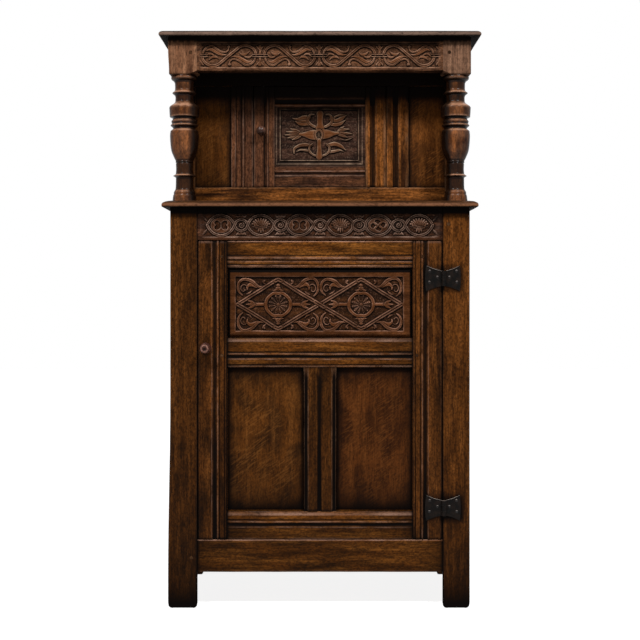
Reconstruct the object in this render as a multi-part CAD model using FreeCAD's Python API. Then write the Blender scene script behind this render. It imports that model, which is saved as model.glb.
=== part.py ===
import FreeCAD, Part
import math
import os

# Small carved oak court cupboard: a cupboard on legs below, a recessed cupboard above
# with a turned column at each front corner, and two carved friezes.
# X runs to the right, the front faces -Y and Z is up. All sizes are millimetres.
# While it is laid out, y = 0 is the front of the lower posts and doors.

V = FreeCAD.Vector

# Heights of the case, from the floor up
leg_length = 95.0
bottom_rail_height = 86.0
door_opening_height = 789.0
waist_rail_height = 87.0
ledge_thickness = 18.5
recess_bottom_rail_height = 44.5
upper_opening_height = 278.0
recess_top_rail_height = 107.0
cornice_thickness = 15.0

# Plan of the lower case
base_width = 790.0
base_depth = 400.0
front_post_width = 72.0
front_post_depth = 60.0
rear_post_side = 50.0
foot_rounding = 8.0
rail_setback = 2.0
front_rail_thickness = 36.0
side_rail_thickness = 32.0
side_rail_setback = 4.0
middle_side_rail_height = 76.0
middle_side_rail_bottom = 560.0
top_side_rail_height = 72.0
rear_rail_thickness = 28.0
rear_bottom_rail_height = 80.0
rear_top_rail_height = 65.0
side_panel_thickness = 12.0
back_board_thickness = 10.0
back_board_count = 4
board_gap = 0.6
floor_board_thickness = 14.0
floor_board_count = 4
floor_rebate_height = 6.0
door_stop_gap = 1.3
shelf_thickness = 18.0
shelf_front_gap = 2.0
shelf_side_bearing = 9.5
notch_clearance = 0.5

# Ledge and cornice boards
ledge_front_overhang = 25.0
ledge_side_overhang = 20.0
ledge_top_rounding = 8.0
ledge_bottom_rounding = 3.0
cornice_front_overhang = 26.0
cornice_side_overhang = 27.5
cornice_rounding = 6.0

# Turned columns with their square top blocks
block_side = 73.0
block_proud = 2.0
block_side_proud = 3.0
block_drop = 10.0
column_radius = 39.9
column_dowel_radius = 10.0
column_dowel_length = 12.0
# The turning from the foot up: each stretch is straight or round, through points given as
# shares of the shaft's height and of column_radius. A stretch starts where the last one ends.
column_turning_shares = [
    ("straight", [(0.000, 0.80), (0.047, 0.75), (0.056, 0.71)]),
    ("round", [(0.056, 0.71), (0.075, 0.70), (0.098, 0.60), (0.134, 0.575)]),
    ("straight", [(0.134, 0.575), (0.190, 0.57), (0.203, 0.76), (0.218, 0.585)]),
    ("round", [(0.218, 0.585), (0.258, 0.56), (0.301, 0.575)]),
    ("straight", [(0.301, 0.575), (0.306, 0.535), (0.311, 0.60), (0.316, 0.60), (0.321, 0.57)]),
    ("round", [(0.321, 0.57), (0.352, 0.70), (0.412, 0.885), (0.512, 0.96), (0.563, 0.93)]),
    ("round", [(0.563, 0.93), (0.583, 0.75), (0.606, 0.93)]),
    ("round", [(0.606, 0.93), (0.622, 0.84), (0.640, 0.87), (0.655, 0.78)]),
    ("straight", [(0.655, 0.78), (0.667, 0.78), (0.673, 0.97)]),
    ("round", [(0.673, 0.97), (0.726, 1.00), (0.757, 0.98), (0.783, 0.70), (0.800, 0.61)]),
    ("round", [(0.800, 0.61), (0.842, 0.62), (0.866, 0.82)]),
    ("round", [(0.866, 0.82), (0.890, 0.64), (0.947, 0.635)]),
    ("straight", [(0.947, 0.635), (0.953, 0.68), (0.959, 0.68)]),
    ("round", [(0.959, 0.68), (0.975, 0.86), (0.989, 0.89), (1.000, 0.86)]),
]

# Upper frieze rail and the rails that run back from the blocks
frieze_rail_height = 87.0
frieze_rail_thickness = 36.0
frieze_chamfer = 7.0
frieze_chamfer_stop = 60.0
frieze_side_rail_thickness = 30.0
frieze_side_rail_inset = 2.0

# Recessed upper cupboard
recess_depth = 110.0
recess_frame_thickness = 22.0
recess_side_inset = 7.0
recess_stile_width = 46.0
recess_muntin_width = 61.0
recess_opening_width = 364.0
recess_panel_thickness = 8.0
recess_panel_setback = 9.0
upper_end_thickness = 16.0

# Lower door
door_gap = 1.5
door_thickness = 25.0
door_stile_width = 77.0
door_top_rail_height = 70.5
door_middle_rail_height = 78.6
door_bottom_rail_height = 74.5
carved_opening_height = 184.0
door_muntin_width = 87.0
door_panel_thickness = 7.0
door_panel_setback = 12.0
door_carved_setback = 6.0
muntin_chamfer = 9.0
muntin_chamfer_stop = 22.0
cove_radius = 8.0
cove_depth = 3.5
stile_cove_inset = 32.0
top_rail_cove_inset = 18.5
middle_rail_cove_inset = 28.0
bottom_rail_cove_inset = 36.0

# Upper door
upper_stile_width = 56.5
upper_top_rail_height = 57.0
upper_bottom_rail_height = 58.0
upper_panel_thickness = 7.0
upper_panel_setback = 10.0
upper_carved_setback = 4.0
upper_cove_inset = 16.0
pintle_inset = 7.0
pintle_radius = 4.5
pintle_length = 10.0
pintle_clearance = 0.06

# Joints between the members
front_tenon_length = 40.0
front_tenon_thickness = 12.0
side_tenon_thickness = 10.0
side_front_tenon_length = 28.0
side_rear_tenon_length = 18.0
rear_tenon_length = 20.0
rear_tenon_thickness = 8.0
block_tenon_length = 36.0
block_rear_tenon_length = 24.0
door_tenon_length = 45.0
door_tenon_thickness = 8.0
upper_tenon_length = 34.0
upper_tenon_thickness = 7.0
recess_tenon_length = 16.0
recess_tenon_thickness = 8.0
muntin_tenon_length = 20.0
muntin_tenon_shoulder = 12.0
tenon_shoulder = 10.0
tenon_clearance = 0.2
panel_tongue = 7.5
panel_clearance = 0.3

# Pegs that lock the joints
peg_radius = 4.5
peg_length = 33.0
peg_proud = 1.0
peg_clearance = 0.05
peg_setback = 16.0
block_peg_rise = 4.5
bottom_peg_drop = 5.0
side_peg_length = 28.0
side_peg_setback = 10.0
door_peg_length = 21.0
door_peg_radius = 4.0
door_peg_setback = 14.0
door_peg_inner_setback = 11.0
door_peg_outer_setback = 26.0
door_top_peg_share = 0.42
door_middle_peg_share = 0.40

# Iron butterfly hinges and their nails
hinge_thickness = 2.5
hinge_post_wing_length = 42.5
hinge_door_wing_length = 46.5
hinge_outer_height = 68.0
hinge_waist_height = 40.0
hinge_bulge = 2.0
hinge_edge_swell = 2.5
hinge_top_drop = 99.0
hinge_bottom_rise = 82.5
knuckle_radius = 6.0
knuckle_standoff = 7.0
knuckle_offset = 3.0
knuckle_middle_length = 16.0
knuckle_gap = 0.3
hinge_pin_radius = 2.5
hinge_pin_clearance = 0.06
hinge_web = 4.5
nail_head_radius = 3.8
nail_head_height = 1.7
nail_shank_radius = 1.5
nail_length = 18.0
nail_clearance = 0.1
nail_place_shares = [(0.79, 0.57), (0.35, 0.10), (0.81, -0.29)]

# Lower knob, with its spindle and inner latch
knob_radius = 12.6
knob_projection = 34.0
knob_spindle_radius = 5.0
knob_inset = 20.0
knob_rise = 50.6
knob_dimple_radius = 3.0
knob_dimple_depth = 2.0
knob_profile_shares = [
    (0.00, 1.175), (0.10, 1.175), (0.16, 1.05), (0.22, 0.70), (0.34, 0.52), (0.48, 0.52),
    (0.60, 0.70), (0.70, 0.93), (0.80, 1.0), (0.90, 0.95), (0.97, 0.76), (1.00, 0.52),
]
spindle_clearance = 0.06
latch_gap = 0.3
latch_thickness = 7.5
latch_width = 16.0
latch_hub_radius = 13.0
latch_reach = 32.5
latch_slot_depth = 13.5
latch_slot_drop = 36.0
latch_slot_rise = 10.5
latch_slot_clearance = 0.4

# Upper ball knob, with its spindle and inner latch
upper_knob_radius = 13.0
upper_knob_neck_radius = 6.0
upper_knob_projection = 33.0
upper_knob_spindle_radius = 4.5
upper_knob_inset = 20.5
upper_knob_rise = 151.5
upper_latch_reach = 35.0
upper_latch_width = 14.0
upper_latch_thickness = 7.0
upper_latch_hub_radius = 11.0
upper_knob_profile_shares = [
    (0.00, 0.81), (0.10, 0.81), (0.16, 0.60), (0.24, 0.46), (0.32, 0.62), (0.42, 0.86),
    (0.52, 0.98), (0.62, 1.0), (0.74, 0.93), (0.84, 0.78), (0.93, 0.54), (1.00, 0.12),
]

# Carved work, as plain raised bands on sunk grounds
carving_depth = 4.0
frieze_carving_margin = 12.0
frieze_carving_top_margin = 20.0
frieze_carving_bottom_margin = 14.0
scroll_radius = 26.0
scroll_band = 7.0
scroll_boss_radius = 9.0
scroll_pair_count = 4
scroll_spacing = 81.0
waist_carving_margin = 24.0
waist_carving_top_margin = 16.0
waist_carving_bottom_margin = 12.0
guilloche_count = 6
guilloche_end_margin = 11.0
guilloche_half_width = 35.0
guilloche_half_height = 27.0
guilloche_band = 7.0
guilloche_boss_radius = 13.0
interlace_half_width = 16.0
interlace_half_height = 15.0
interlace_band = 6.0
carved_border = 20.0
lozenge_half_height = 64.0
lozenge_band = 11.0
lozenge_ring_radius = 35.0
lozenge_ring_band = 8.0
lozenge_boss_radius = 24.0
upper_border = 16.0
upper_stem_width = 12.0
upper_palmette_half_width = 24.0
upper_palmette_half_height = 18.0
upper_palmette_place = 62.0

# Working values for cuts
overrun = 5.0
near = 0.01

# Places that follow from the sizes above
bottom_rail_top = leg_length + bottom_rail_height
waist_rail_bottom = bottom_rail_top + door_opening_height
ledge_bottom = waist_rail_bottom + waist_rail_height
ledge_top = ledge_bottom + ledge_thickness
upper_opening_bottom = ledge_top + recess_bottom_rail_height
upper_opening_top = upper_opening_bottom + upper_opening_height
cornice_bottom = upper_opening_top + recess_top_rail_height
cornice_top = cornice_bottom + cornice_thickness
half_base = base_width / 2
post_inner = half_base - front_post_width
rear_post_inner = half_base - rear_post_side
rear_post_front = base_depth - rear_post_side
rail_front = rail_setback
rail_back = rail_front + front_rail_thickness
side_rail_outer = half_base - side_rail_setback
side_rail_inner = side_rail_outer - side_rail_thickness
side_rail_middle = (side_rail_outer + side_rail_inner) / 2
back_board_front = base_depth - back_board_thickness
rear_rail_front = back_board_front - rear_rail_thickness
floor_bottom = bottom_rail_top - floor_rebate_height
floor_front = door_thickness + door_stop_gap
shelf_bottom = middle_side_rail_bottom + middle_side_rail_height
half_block = block_side / 2
column_x = half_base + block_side_proud - half_block
column_y = half_block - block_proud
frieze_rail_bottom = cornice_bottom - frieze_rail_height
block_bottom = frieze_rail_bottom - block_drop
block_inner = column_x - half_block
block_outer = column_x + half_block
block_back = column_y + half_block
frieze_side_outer = block_outer - frieze_side_rail_inset
frieze_side_inner = frieze_side_outer - frieze_side_rail_thickness
frieze_side_middle = (frieze_side_outer + frieze_side_inner) / 2
recess_back = recess_depth + recess_frame_thickness
recess_half_width = half_base - recess_side_inset
recess_stile_inner = recess_half_width - recess_stile_width
half_opening = recess_opening_width / 2
muntin_outer = half_opening + recess_muntin_width
door_half = post_inner - door_gap
door_bottom = bottom_rail_top + door_gap
door_top = waist_rail_bottom - door_gap
door_stile_inner = door_half - door_stile_width
door_bottom_rail_top = door_bottom + door_bottom_rail_height
carved_opening_top = door_top - door_top_rail_height
carved_opening_bottom = carved_opening_top - carved_opening_height
middle_rail_bottom = carved_opening_bottom - door_middle_rail_height
half_muntin = door_muntin_width / 2
upper_half = half_opening - door_gap
upper_door_bottom = upper_opening_bottom + door_gap
upper_door_top = upper_opening_top - door_gap
upper_stile_inner = upper_half - upper_stile_width
upper_panel_bottom = upper_door_bottom + upper_bottom_rail_height
upper_panel_top = upper_door_top - upper_top_rail_height
pintle_x = upper_half - pintle_inset
pintle_y = recess_depth + pintle_inset
hinge_x = post_inner + knuckle_offset
hinge_y = -knuckle_standoff
hinge_heights = [door_bottom + hinge_bottom_rise, door_top - hinge_top_drop]
knob_x = -(door_half - knob_inset)
knob_z = middle_rail_bottom + knob_rise
upper_knob_x = -(upper_half - upper_knob_inset)
upper_knob_z = upper_door_bottom + upper_knob_rise
frieze_middle = (frieze_rail_bottom + cornice_bottom) / 2
waist_middle = (waist_rail_bottom + ledge_bottom) / 2
depth_middle = (base_depth - knob_projection) / 2


# A span is the six limits of a block: left, right, front, back, bottom, top.
def block(span):
    x0, x1, y0, y1, z0, z1 = span
    return Part.makeBox(x1 - x0, y1 - y0, z1 - z0, V(x0, y0, z0))


def eased(span, gap):
    x0, x1, y0, y1, z0, z1 = span
    return block((x0 - gap, x1 + gap, y0 - gap, y1 + gap, z0 - gap, z1 + gap))


def flipped(span):
    x0, x1, y0, y1, z0, z1 = span
    return (-x1, -x0, y0, y1, z0, z1)


def other_side(shape):
    return shape.mirror(V(0, 0, 0), V(1, 0, 0))


def joined(shapes):
    whole = shapes[0]
    for shape in shapes[1:]:
        whole = whole.fuse(shape)
    return whole.removeSplitter()


def cut_all(shape, cutters):
    for cutter in cutters:
        shape = shape.cut(cutter)
    return shape


def rounded(shape, radius, wanted):
    edges = [edge for edge in shape.Edges if wanted(edge.BoundBox)]
    return shape.makeFillet(radius, edges)


def prism_along_y(points, y0, y1):
    corners = [V(x, y0, z) for x, z in points]
    face = Part.Face(Part.makePolygon(corners + [corners[0]]))
    return face.extrude(V(0, y1 - y0, 0))


# Tenons run on from a rail along its length, set in from its edges by a shoulder.
def front_rail_tenon(z0, z1, inner, length, front, thickness, tenon_thickness):
    y0 = front + (thickness - tenon_thickness) / 2
    return (inner, inner + length, y0, y0 + tenon_thickness, z0 + tenon_shoulder, z1 - tenon_shoulder)


def rail_with_tenons(span, tenon):
    return joined([block(span), block(tenon), block(flipped(tenon))])


def side_tenons(middle, z0, z1, front, front_length):
    x0 = middle - side_tenon_thickness / 2
    x1 = middle + side_tenon_thickness / 2
    low = z0 + tenon_shoulder
    high = z1 - tenon_shoulder
    ahead = (x0, x1, front - front_length, front, low, high)
    behind = (x0, x1, rear_post_front, rear_post_front + side_rear_tenon_length, low, high)
    return ahead, behind


# Coves are shallow round grooves run along a member, on the face at y = face.
def cove_along_x(x0, x1, z, face):
    centre = face - (cove_radius - cove_depth)
    return Part.makeCylinder(cove_radius, x1 - x0, V(x0, centre, z), V(1, 0, 0))


def cove_along_z(x, z0, z1, face):
    centre = face - (cove_radius - cove_depth)
    return Part.makeCylinder(cove_radius, z1 - z0, V(x, centre, z0), V(0, 0, 1))


# Carved bands stand on a sunk ground and reach back up to the face.
def oval(x, z, half_width, half_height, y0, y1):
    wide = max(half_width, half_height)
    tall = min(half_width, half_height)
    curve = Part.Circle() if wide == tall else Part.Ellipse(V(0, 0, 0), wide, tall)
    if wide == tall:
        curve.Radius = wide
    face = Part.Face(Part.Wire(curve.toShape()))
    if half_height > half_width:
        face.rotate(V(0, 0, 0), V(0, 0, 1), 90)
    face.rotate(V(0, 0, 0), V(1, 0, 0), 90)
    face.translate(V(x, y1, z))
    return face.extrude(V(0, y0 - y1, 0))


def ring(x, z, half_width, half_height, band, y0, y1):
    outer = oval(x, z, half_width, half_height, y0, y1)
    return outer.cut(oval(x, z, half_width - band, half_height - band, y0 - overrun, y1 + overrun))


def lozenge(x, z, half_width, half_height, y0, y1):
    points = [(x - half_width, z), (x, z - half_height), (x + half_width, z), (x, z + half_height)]
    return prism_along_y(points, y0, y1)


def lozenge_ring(x, z, half_width, half_height, band, y0, y1):
    inner_width = half_width - band * math.hypot(half_width, half_height) / half_height
    inner_height = half_height * inner_width / half_width
    outer = lozenge(x, z, half_width, half_height, y0, y1)
    return outer.cut(lozenge(x, z, inner_width, inner_height, y0 - overrun, y1 + overrun))


# A dowel along Y or X, and the hole that it fills.
def peg_along_y(x, z, start, length, radius):
    return Part.makeCylinder(radius, length, V(x, start, z), V(0, 1, 0))


def peg_along_x(y, z, outer, length, radius):
    return Part.makeCylinder(radius, length, V(outer, y, z), V(-1, 0, 0))


# The front rails of the lower case
bottom_tenon = front_rail_tenon(
    leg_length, bottom_rail_top, post_inner, front_tenon_length,
    rail_front, front_rail_thickness, front_tenon_thickness)
waist_tenon = front_rail_tenon(
    waist_rail_bottom, ledge_bottom, post_inner, front_tenon_length,
    rail_front, front_rail_thickness, front_tenon_thickness)
frieze_front = rail_front
frieze_tenon = front_rail_tenon(
    frieze_rail_bottom, cornice_bottom, block_inner, block_tenon_length,
    frieze_front, frieze_rail_thickness, front_tenon_thickness)

# The side rails, each with a tenon ahead and one behind
bottom_side_tenons = side_tenons(
    side_rail_middle, leg_length, bottom_rail_top, front_post_depth, side_front_tenon_length)
middle_side_tenons = side_tenons(
    side_rail_middle, middle_side_rail_bottom, shelf_bottom, front_post_depth, side_front_tenon_length)
top_side_bottom = ledge_bottom - top_side_rail_height
top_side_tenons = side_tenons(
    side_rail_middle, top_side_bottom, ledge_bottom, front_post_depth, side_front_tenon_length)
frieze_side_tenons = side_tenons(
    frieze_side_middle, frieze_rail_bottom, cornice_bottom, block_back, block_rear_tenon_length)

# The rear rails
rear_bottom_top = floor_bottom
rear_bottom_low = rear_bottom_top - rear_bottom_rail_height
rear_top_low = cornice_bottom - rear_top_rail_height
rear_bottom_tenon = front_rail_tenon(
    rear_bottom_low, rear_bottom_top, rear_post_inner, rear_tenon_length,
    rear_rail_front, rear_rail_thickness, rear_tenon_thickness)
rear_top_tenon = front_rail_tenon(
    rear_top_low, cornice_bottom, rear_post_inner, rear_tenon_length,
    rear_rail_front, rear_rail_thickness, rear_tenon_thickness)

# The side panels, held in grooves all round
panel_x0 = side_rail_middle - side_panel_thickness / 2
panel_x1 = side_rail_middle + side_panel_thickness / 2
panel_y0 = front_post_depth - panel_tongue
panel_y1 = rear_post_front + panel_tongue
lower_side_panel = (
    panel_x0, panel_x1, panel_y0, panel_y1,
    bottom_rail_top - panel_tongue, middle_side_rail_bottom + panel_tongue)
upper_side_panel = (
    panel_x0, panel_x1, panel_y0, panel_y1, shelf_bottom - panel_tongue, top_side_bottom + panel_tongue)

# Peg places on the front of the case: (x, z) of each
waist_peg = (post_inner + peg_setback, waist_middle)
bottom_peg = (-(post_inner + peg_setback), leg_length + bottom_rail_height / 2 - bottom_peg_drop)
block_pegs = [
    (-(block_inner + peg_setback), frieze_middle + block_peg_rise),
    (block_inner + peg_setback, frieze_middle + block_peg_rise),
]


def front_peg_spans():
    return [waist_peg, bottom_peg] + block_pegs


def front_peg_start(place):
    return -block_proud - peg_proud if place in block_pegs else -peg_proud


def front_peg(place, gap):
    x, z = place
    start = front_peg_start(place) - gap
    return peg_along_y(x, z, start, peg_length + gap + gap, peg_radius + gap)


# Peg places on the right side of the case: (y, z, outer face) of each
def side_peg_places():
    places = []
    for low, high in [
        (leg_length, bottom_rail_top),
        (middle_side_rail_bottom, shelf_bottom),
        (top_side_bottom, ledge_bottom),
    ]:
        middle = (low + high) / 2
        places.append((front_post_depth - side_peg_setback, middle, half_base))
        places.append((rear_post_front + side_peg_setback, middle, half_base))
    places.append((block_back - side_peg_setback, frieze_middle, block_outer))
    places.append((rear_post_front + side_peg_setback, frieze_middle, half_base))
    return places


def side_peg(place, gap):
    y, z, outer = place
    return peg_along_x(y, z, outer + peg_proud + gap, side_peg_length + gap + gap, peg_radius + gap)


def side_peg_holes():
    return [side_peg(place, peg_clearance) for place in side_peg_places()]


def all_side_holes():
    holes = side_peg_holes()
    return holes + [other_side(hole) for hole in holes]


def front_holes():
    return [front_peg(place, peg_clearance) for place in front_peg_spans()]


def peg_holes():
    return front_holes() + all_side_holes()


def make_front_post(side):
    span = (post_inner, half_base, 0, front_post_depth, 0, ledge_bottom)
    post = rounded(block(span), foot_rounding, lambda b: b.ZMax < near)
    tenons = [bottom_tenon, waist_tenon, bottom_side_tenons[0], middle_side_tenons[0], top_side_tenons[0]]
    post = cut_all(post, [eased(tenon, tenon_clearance) for tenon in tenons])
    post = cut_all(post, [eased(panel, panel_clearance) for panel in (lower_side_panel, upper_side_panel)])
    if side < 0:
        post = other_side(post)
        post = post.cut(latch_slot())
    post = cut_all(post, peg_holes())
    return cut_all(post, nail_holes(side))


def latch_slot():
    y0 = door_thickness + latch_gap - latch_slot_clearance
    y1 = door_thickness + latch_gap + latch_thickness + latch_slot_clearance
    return block((
        -post_inner - latch_slot_depth, -post_inner + overrun, y0, y1,
        knob_z - latch_slot_drop, knob_z + latch_slot_rise))


def make_rear_post(side):
    span = (rear_post_inner, half_base, rear_post_front, base_depth, 0, cornice_bottom)
    post = rounded(block(span), foot_rounding, lambda b: b.ZMax < near)
    tenons = [
        rear_bottom_tenon, rear_top_tenon, bottom_side_tenons[1], middle_side_tenons[1],
        top_side_tenons[1], frieze_side_tenons[1]]
    post = cut_all(post, [eased(tenon, tenon_clearance) for tenon in tenons])
    post = cut_all(post, [eased(panel, panel_clearance) for panel in (lower_side_panel, upper_side_panel)])
    if side < 0:
        post = other_side(post)
    return cut_all(post, peg_holes())


def make_front_bottom_rail():
    span = (-post_inner, post_inner, rail_front, rail_back, leg_length, bottom_rail_top)
    rail = rail_with_tenons(span, bottom_tenon)
    rebate = block((-post_inner - near, post_inner + near, floor_front, rail_back + overrun,
                    floor_bottom, bottom_rail_top + overrun))
    rail = rail.cut(rebate)
    return cut_all(rail, front_holes())


# The waist frieze: a sunk ground with a row of linked ovals
def make_waist_frieze_rail():
    span = (-post_inner, post_inner, rail_front, rail_back, waist_rail_bottom, ledge_bottom)
    rail = rail_with_tenons(span, waist_tenon)
    ground_y = rail_front + carving_depth
    low = waist_rail_bottom + waist_carving_bottom_margin
    high = ledge_bottom - waist_carving_top_margin
    rail = rail.cut(block((
        -post_inner + waist_carving_margin, post_inner - waist_carving_margin,
        rail_front - overrun, ground_y, low, high)))
    bands = []
    middle = (low + high) / 2
    guilloche_spacing = 2 * (post_inner - guilloche_end_margin) / guilloche_count
    for number in range(guilloche_count):
        x = (number - (guilloche_count - 1) / 2) * guilloche_spacing
        bands.append(ring(x, middle, guilloche_half_width, guilloche_half_height, guilloche_band,
                          rail_front, ground_y))
        bands.append(oval(x, middle, guilloche_boss_radius, guilloche_boss_radius, rail_front, ground_y))
        if number:
            between = x - guilloche_spacing / 2
            bands.append(ring(between, middle, interlace_half_width, interlace_half_height,
                              interlace_band, rail_front, ground_y))
    return cut_all(joined([rail] + bands), front_holes())


# The upper frieze: a sunk ground with pairs of scrolls, and a stopped chamfer below
def make_frieze_rail():
    span = (-block_inner, block_inner, frieze_front, frieze_front + frieze_rail_thickness,
            frieze_rail_bottom, cornice_bottom)
    rail = rail_with_tenons(span, frieze_tenon)
    ground_y = frieze_front + carving_depth
    low = frieze_rail_bottom + frieze_carving_bottom_margin
    high = cornice_bottom - frieze_carving_top_margin
    rail = rail.cut(block((
        -block_inner + frieze_carving_margin, block_inner - frieze_carving_margin,
        frieze_front - overrun, ground_y, low, high)))
    middle = (low + high) / 2
    bands = []
    scroll_pair_spacing = 2 * block_inner / scroll_pair_count
    for number in range(scroll_pair_count):
        pair_x = (number - (scroll_pair_count - 1) / 2) * scroll_pair_spacing
        for step in (-1, 1):
            x = pair_x + step * scroll_spacing / 2
            bands.append(ring(x, middle, scroll_radius, scroll_radius, scroll_band, frieze_front, ground_y))
            bands.append(oval(x, middle, scroll_boss_radius, scroll_boss_radius, frieze_front, ground_y))
    rail = joined([rail] + bands)
    run = block_inner - frieze_chamfer_stop
    corner = [V(-run, frieze_front, frieze_rail_bottom),
              V(-run, frieze_front + frieze_chamfer, frieze_rail_bottom),
              V(-run, frieze_front, frieze_rail_bottom + frieze_chamfer)]
    chamfer = Part.Face(Part.makePolygon(corner + [corner[0]])).extrude(V(run + run, 0, 0))
    return cut_all(rail.cut(chamfer), front_holes())


def make_side_rail(side, low, high, tenons, panels):
    span = (side_rail_inner, side_rail_outer, front_post_depth, rear_post_front, low, high)
    rail = joined([block(span)] + [block(tenon) for tenon in tenons])
    rail = cut_all(rail, [eased(panel, panel_clearance) for panel in panels])
    rail = cut_all(rail, side_peg_holes())
    return other_side(rail) if side < 0 else rail


def make_frieze_side_rail(side):
    span = (frieze_side_inner, frieze_side_outer, block_back, rear_post_front,
            frieze_rail_bottom, cornice_bottom)
    rail = joined([block(span)] + [block(tenon) for tenon in frieze_side_tenons])
    rail = cut_all(rail, side_peg_holes())
    return other_side(rail) if side < 0 else rail


def make_rear_rail(low, high, tenon):
    span = (-rear_post_inner, rear_post_inner, rear_rail_front, back_board_front, low, high)
    return rail_with_tenons(span, tenon)


def make_back_boards():
    pitch = (2 * rear_post_inner - board_gap) / back_board_count
    boards = []
    for number in range(back_board_count):
        left = -rear_post_inner + board_gap + number * pitch
        boards.append(block((left, left + pitch - board_gap, back_board_front, base_depth,
                             rear_bottom_low, cornice_bottom)))
    return Part.makeCompound(boards)


# Floor boards run front to back, from the rebate of the front rail to the rear rail.
def make_floor_boards():
    reach = side_rail_inner - notch_clearance
    pitch = (2 * reach + board_gap) / floor_board_count
    corners = [
        (post_inner - notch_clearance, half_base, floor_front - overrun, front_post_depth + notch_clearance),
        (rear_post_inner - notch_clearance, half_base, rear_post_front - notch_clearance, base_depth),
    ]
    notches = []
    for x0, x1, y0, y1 in corners:
        notch = (x0, x1, y0, y1, floor_bottom - overrun, floor_bottom + floor_board_thickness + overrun)
        notches += [block(notch), block(flipped(notch))]
    boards = []
    for number in range(floor_board_count):
        left = -reach + number * pitch
        board = block((left, left + pitch - board_gap, floor_front, back_board_front,
                       floor_bottom, floor_bottom + floor_board_thickness))
        boards.append(cut_all(board, notches))
    return Part.makeCompound(boards)


def make_shelf():
    reach = side_rail_inner + shelf_side_bearing
    shelf = block((-reach, reach, front_post_depth + shelf_front_gap, back_board_front,
                   shelf_bottom, shelf_bottom + shelf_thickness))
    notch = (rear_post_inner - notch_clearance, half_base, rear_post_front - notch_clearance, base_depth,
             shelf_bottom - overrun, shelf_bottom + shelf_thickness + overrun)
    return cut_all(shelf, [block(notch), block(flipped(notch))])


def make_ledge_board():
    reach = half_base + ledge_side_overhang
    board = block((-reach, reach, -ledge_front_overhang, base_depth, ledge_bottom, ledge_top))
    outer = lambda b: b.YMax < near - ledge_front_overhang or b.XMin > reach - near or b.XMax < near - reach
    board = rounded(board, min(ledge_top_rounding, ledge_thickness / 2),
                    lambda b: b.ZMin > ledge_top - near and outer(b))
    board = rounded(board, min(ledge_bottom_rounding, ledge_thickness / 3),
                    lambda b: b.ZMax < ledge_bottom + near and outer(b))
    notch = (rear_post_inner - notch_clearance, half_base + notch_clearance,
             rear_post_front - notch_clearance, base_depth + overrun,
             ledge_bottom - overrun, ledge_top + overrun)
    behind = (-rear_post_inner, rear_post_inner, back_board_front, base_depth + overrun,
              ledge_bottom - overrun, ledge_top + overrun)
    sockets = [block(behind)]
    for side in (-1, 1):
        sockets.append(Part.makeCylinder(
            column_dowel_radius + peg_clearance, column_dowel_length + tenon_clearance,
            V(side * column_x, column_y, ledge_top - column_dowel_length - tenon_clearance), V(0, 0, 1)))
    return cut_all(board, [block(notch), block(flipped(notch))] + sockets)


def make_cornice_board():
    reach = half_base + cornice_side_overhang
    board = block((-reach, reach, -cornice_front_overhang, base_depth, cornice_bottom, cornice_top))
    front = near - cornice_front_overhang
    rounding = min(cornice_rounding, cornice_thickness / 2)
    return rounded(board, rounding, lambda b: b.ZMin > cornice_top - near and (
        b.YMax < front or b.XMin > reach - near or b.XMax < near - reach))


def shaft_points(stretch):
    shaft_height = block_bottom - ledge_top
    return [V(r * column_radius, 0, ledge_top + h * shaft_height) for h, r in stretch]


# Half of the shaft's section, closed along its axis
def column_outline():
    edges = []
    for shape, stretch in column_turning_shares:
        points = shaft_points(stretch)
        if shape == "round":
            curve = Part.BSplineCurve()
            curve.interpolate(points)
            edges.append(curve.toShape())
        else:
            edges += Part.makePolygon(points).Edges
    foot = shaft_points(column_turning_shares[0][1])[0]
    top = shaft_points(column_turning_shares[-1][1])[-1]
    edges += Part.makePolygon([top, V(0, 0, block_bottom), V(0, 0, ledge_top), foot]).Edges
    return Part.Wire(edges)


# A column is one piece: the dowel below, the turned shaft and the square block.
def make_column(side):
    shaft = Part.Face(column_outline()).revolve(V(0, 0, 0), V(0, 0, 1), 360)
    shaft.translate(V(column_x, column_y, 0))
    dowel = Part.makeCylinder(column_dowel_radius, column_dowel_length,
                              V(column_x, column_y, ledge_top - column_dowel_length), V(0, 0, 1))
    head = block((block_inner, block_outer, -block_proud, block_back, block_bottom, cornice_bottom))
    column = joined([shaft, dowel, head])
    column = column.cut(eased(frieze_tenon, tenon_clearance))
    column = column.cut(eased(frieze_side_tenons[0], tenon_clearance))
    if side < 0:
        column = other_side(column)
    return cut_all(column, peg_holes())


# The recessed frame. Its stiles are notched round the rails that run back from the blocks.
recess_panel_front = recess_depth + recess_panel_setback
recess_panel = (
    muntin_outer - panel_tongue, recess_stile_inner + panel_tongue,
    recess_panel_front, recess_panel_front + recess_panel_thickness,
    upper_opening_bottom - panel_tongue, upper_opening_top + panel_tongue)
recess_bottom_tenon = front_rail_tenon(
    ledge_top, upper_opening_bottom, recess_stile_inner, recess_tenon_length,
    recess_depth, recess_frame_thickness, recess_tenon_thickness)
recess_top_tenon = front_rail_tenon(
    upper_opening_top, cornice_bottom, recess_stile_inner, recess_tenon_length,
    recess_depth, recess_frame_thickness, recess_tenon_thickness)


def recess_panel_grooves():
    return [eased(recess_panel, panel_clearance), eased(flipped(recess_panel), panel_clearance)]


def muntin_tenons():
    y0 = recess_depth + (recess_frame_thickness - recess_tenon_thickness) / 2
    y1 = y0 + recess_tenon_thickness
    x0 = half_opening + muntin_tenon_shoulder
    x1 = muntin_outer - muntin_tenon_shoulder
    return [
        (x0, x1, y0, y1, upper_opening_bottom - muntin_tenon_length, upper_opening_bottom),
        (x0, x1, y0, y1, upper_opening_top, upper_opening_top + muntin_tenon_length)]


def muntin_mortises():
    spans = muntin_tenons()
    return [eased(span, tenon_clearance) for span in spans + [flipped(span) for span in spans]]


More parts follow.
